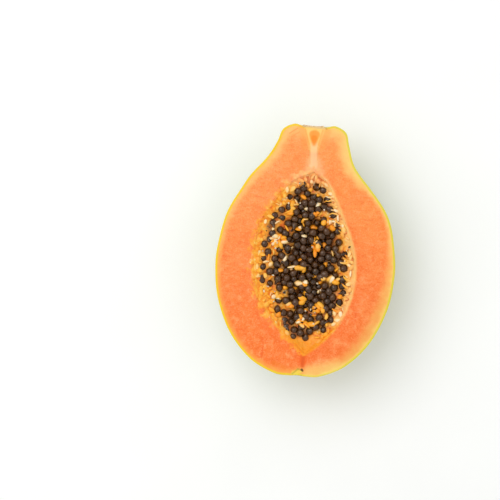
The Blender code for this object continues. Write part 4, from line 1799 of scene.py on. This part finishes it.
tree.links.new(rough.outputs[0], shader.inputs["Normal"])
tree.links.new(swollen.outputs[0], shader.inputs["Coat Normal"])
print(seed_finish.name, "has", len(tree.nodes), "nodes")

# %% Creamy flecks
fleck_finish, tree, shader, place = new_material("dry seed husk", 0.6, 1.4, Subsurface_Weight=0.2)
tone = add(tree, "ShaderNodeAttribute", attribute_name="tone").outputs["Fac"]
base = coat(tree, "#e8c898", "#f8e6c8", tone)
specks = add(tree, "ShaderNodeTexNoise", {"Vector": place, "Scale": 1 / PULP_GRAIN, "Detail": 1})
colour = coat(tree, base, "#d9a870", (specks, 0.5, 0.8, 0, 0.4))
tree.links.new(colour, shader.inputs["Base Color"])
print(fleck_finish.name, "has", len(tree.nodes), "nodes")

# %% Put the pieces in place
for piece, finish, node in (
    (bed, bed_finish, "pulp"),
    (pulp_lumps, pulp_finish, "pulp"),
    (pulp_threads, pulp_finish, "pulp"),
    (flecks, fleck_finish, "pulp"),
    (seeds, seed_finish, "seeds"),
):
    piece.data.materials.clear()
    piece.data.materials.append(finish)
    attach(piece, "root")
    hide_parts(node)
print("the cavity is filled")

# %% [markdown]
# # The two scars
# Where the stalk broke off, the neck ends in a shallow hollow with a corky scar, ringed like a coin. The
# blossom left a much smaller dark scar at the other end. Each is extruded and inset from a disc, cut level
# with the cut face, and shaken a little, because cork is rough.


# %% Model a scar
STEM_RADIUS = 0.0074
BLOSSOM_RADIUS = 0.0027
STEM_ROUGHNESS = 0.00020
BLOSSOM_ROUGHNESS = 0.00008
SCAR_SIDES = 48
SCAR_BELOW_CUT = 0.0001


def scar_piece(name, centre, radius, outward, steps, roughness):
    """Half a corky disc that stands on a fruit's end. Each step insets its top by a share of the radius and
    then moves it outward by a length."""
    turn = (-math.copysign(math.pi / 2, outward), 0, 0)
    bpy.ops.mesh.primitive_circle_add(
        vertices=SCAR_SIDES, radius=radius, fill_type="NGON", location=centre, rotation=turn
    )
    scar = bpy.context.object
    scar.name = name
    scar.data.name = name
    bpy.ops.object.transform_apply(location=True, rotation=True, scale=False)
    start_edit(scar)
    bpy.ops.mesh.select_mode(type="FACE")
    bpy.ops.mesh.select_all(action="SELECT")
    for inset, rise in steps:
        if inset:
            bpy.ops.mesh.inset(thickness=inset * radius)
            bpy.ops.transform.translate(value=(0, rise * outward, 0))
        else:
            bpy.ops.mesh.extrude_region_move(TRANSFORM_OT_translate={"value": (0, rise * outward, 0)})
    bpy.ops.mesh.select_all(action="SELECT")
    bpy.ops.mesh.bisect(
        plane_co=(0, 0, CUT_HEIGHT - SCAR_BELOW_CUT), plane_no=(0, 0, 1), clear_outer=True, use_fill=True
    )
    select_edges(scar, lambda edge: edge.is_boundary)
    bpy.ops.mesh.edge_face_add()
    bpy.ops.mesh.select_all(action="SELECT")
    bpy.ops.mesh.normals_make_consistent(inside=False)
    bpy.ops.mesh.quads_convert_to_tris()
    bpy.ops.mesh.subdivide(number_cuts=1)
    select_verts(scar, vertex_places_in_edit(scar)[:, 2] < CUT_HEIGHT - 2 * SCAR_BELOW_CUT)
    bpy.ops.transform.vertex_random(offset=roughness, seed=3)
    bpy.ops.object.mode_set(mode="OBJECT")
    bpy.ops.object.shade_smooth_by_angle(angle=math.radians(50))
    return scar


def vertex_places_in_edit(piece):
    """The places of an object's vertices while it is being edited."""
    return numpy.array([vert.co[:] for vert in bmesh.from_edit_mesh(piece.data).verts])


STEM_STEPS = (
    (0, 0.0015),
    (0.12, 0.0002),
    (0.10, -0.0006),
    (0.16, -0.0001),
    (0.08, 0.0003),
    (0.10, -0.0004),
    (0.22, 0.0002),
)
BLOSSOM_STEPS = ((0, 0.0003), (0.25, 0.0001), (0.3, -0.0003))
STEM_CENTRE = (-0.0010, 0.0866, CUT_HEIGHT)
BLOSSOM_CENTRE = (0.0006, -0.0877, CUT_HEIGHT)
stem_scar = scar_piece("stem_scar", STEM_CENTRE, STEM_RADIUS, 1, STEM_STEPS, STEM_ROUGHNESS)
blossom_scar = scar_piece(
    "blossom_scar", BLOSSOM_CENTRE, BLOSSOM_RADIUS, -1, BLOSSOM_STEPS, BLOSSOM_ROUGHNESS
)
print("the scars have", len(stem_scar.data.polygons), "and", len(blossom_scar.data.polygons), "faces")

# %% Dry cork
CORK_GRAIN = 0.0010
CORK_RING = 0.0011


def dry_cork(name, centre, dark, light):
    """The dry corky tissue that closes a scar: matt, tan, crumbly, and ringed round the scar's centre."""
    made, tree, shader, place = new_material(name, 0.85, 1.4)
    centred = add(tree, "ShaderNodeVectorMath", {0: place, 1: centre}, operation="SUBTRACT")
    crumbs = add(tree, "ShaderNodeTexNoise", {"Vector": place, "Scale": 1 / CORK_GRAIN, "Detail": 4})
    rings = add(
        tree,
        "ShaderNodeTexWave",
        {"Vector": centred, "Scale": 1 / CORK_RING / 3, "Distortion": 2.5, "Detail": 2, "Detail Scale": 1.5},
        wave_type="RINGS",
        rings_direction="Y",
    )
    colour = coat(tree, dark, light, (crumbs, 0.35, 0.65))
    colour = coat(tree, colour, "#6b4a28", (rings.outputs["Fac"], 0.35, 0.05, 0, 0.30))
    tree.links.new(colour, shader.inputs["Base Color"])
    crumbly = add(tree, "ShaderNodeBump", {"Height": crumbs, "Strength": 0.6, "Distance": 0.0004})
    tree.links.new(crumbly.outputs[0], shader.inputs["Normal"])
    return made


for scar, finish in (
    (stem_scar, dry_cork("dry cork of the stem scar", STEM_CENTRE, "#c89c6a", "#f4dcb0")),
    (blossom_scar, dry_cork("dry cork of the blossom scar", BLOSSOM_CENTRE, "#5e4420", "#a0803c")),
):
    scar.data.materials.append(finish)
    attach(scar, "root")
    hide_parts("papaya_half")
print("both ends have their scar")
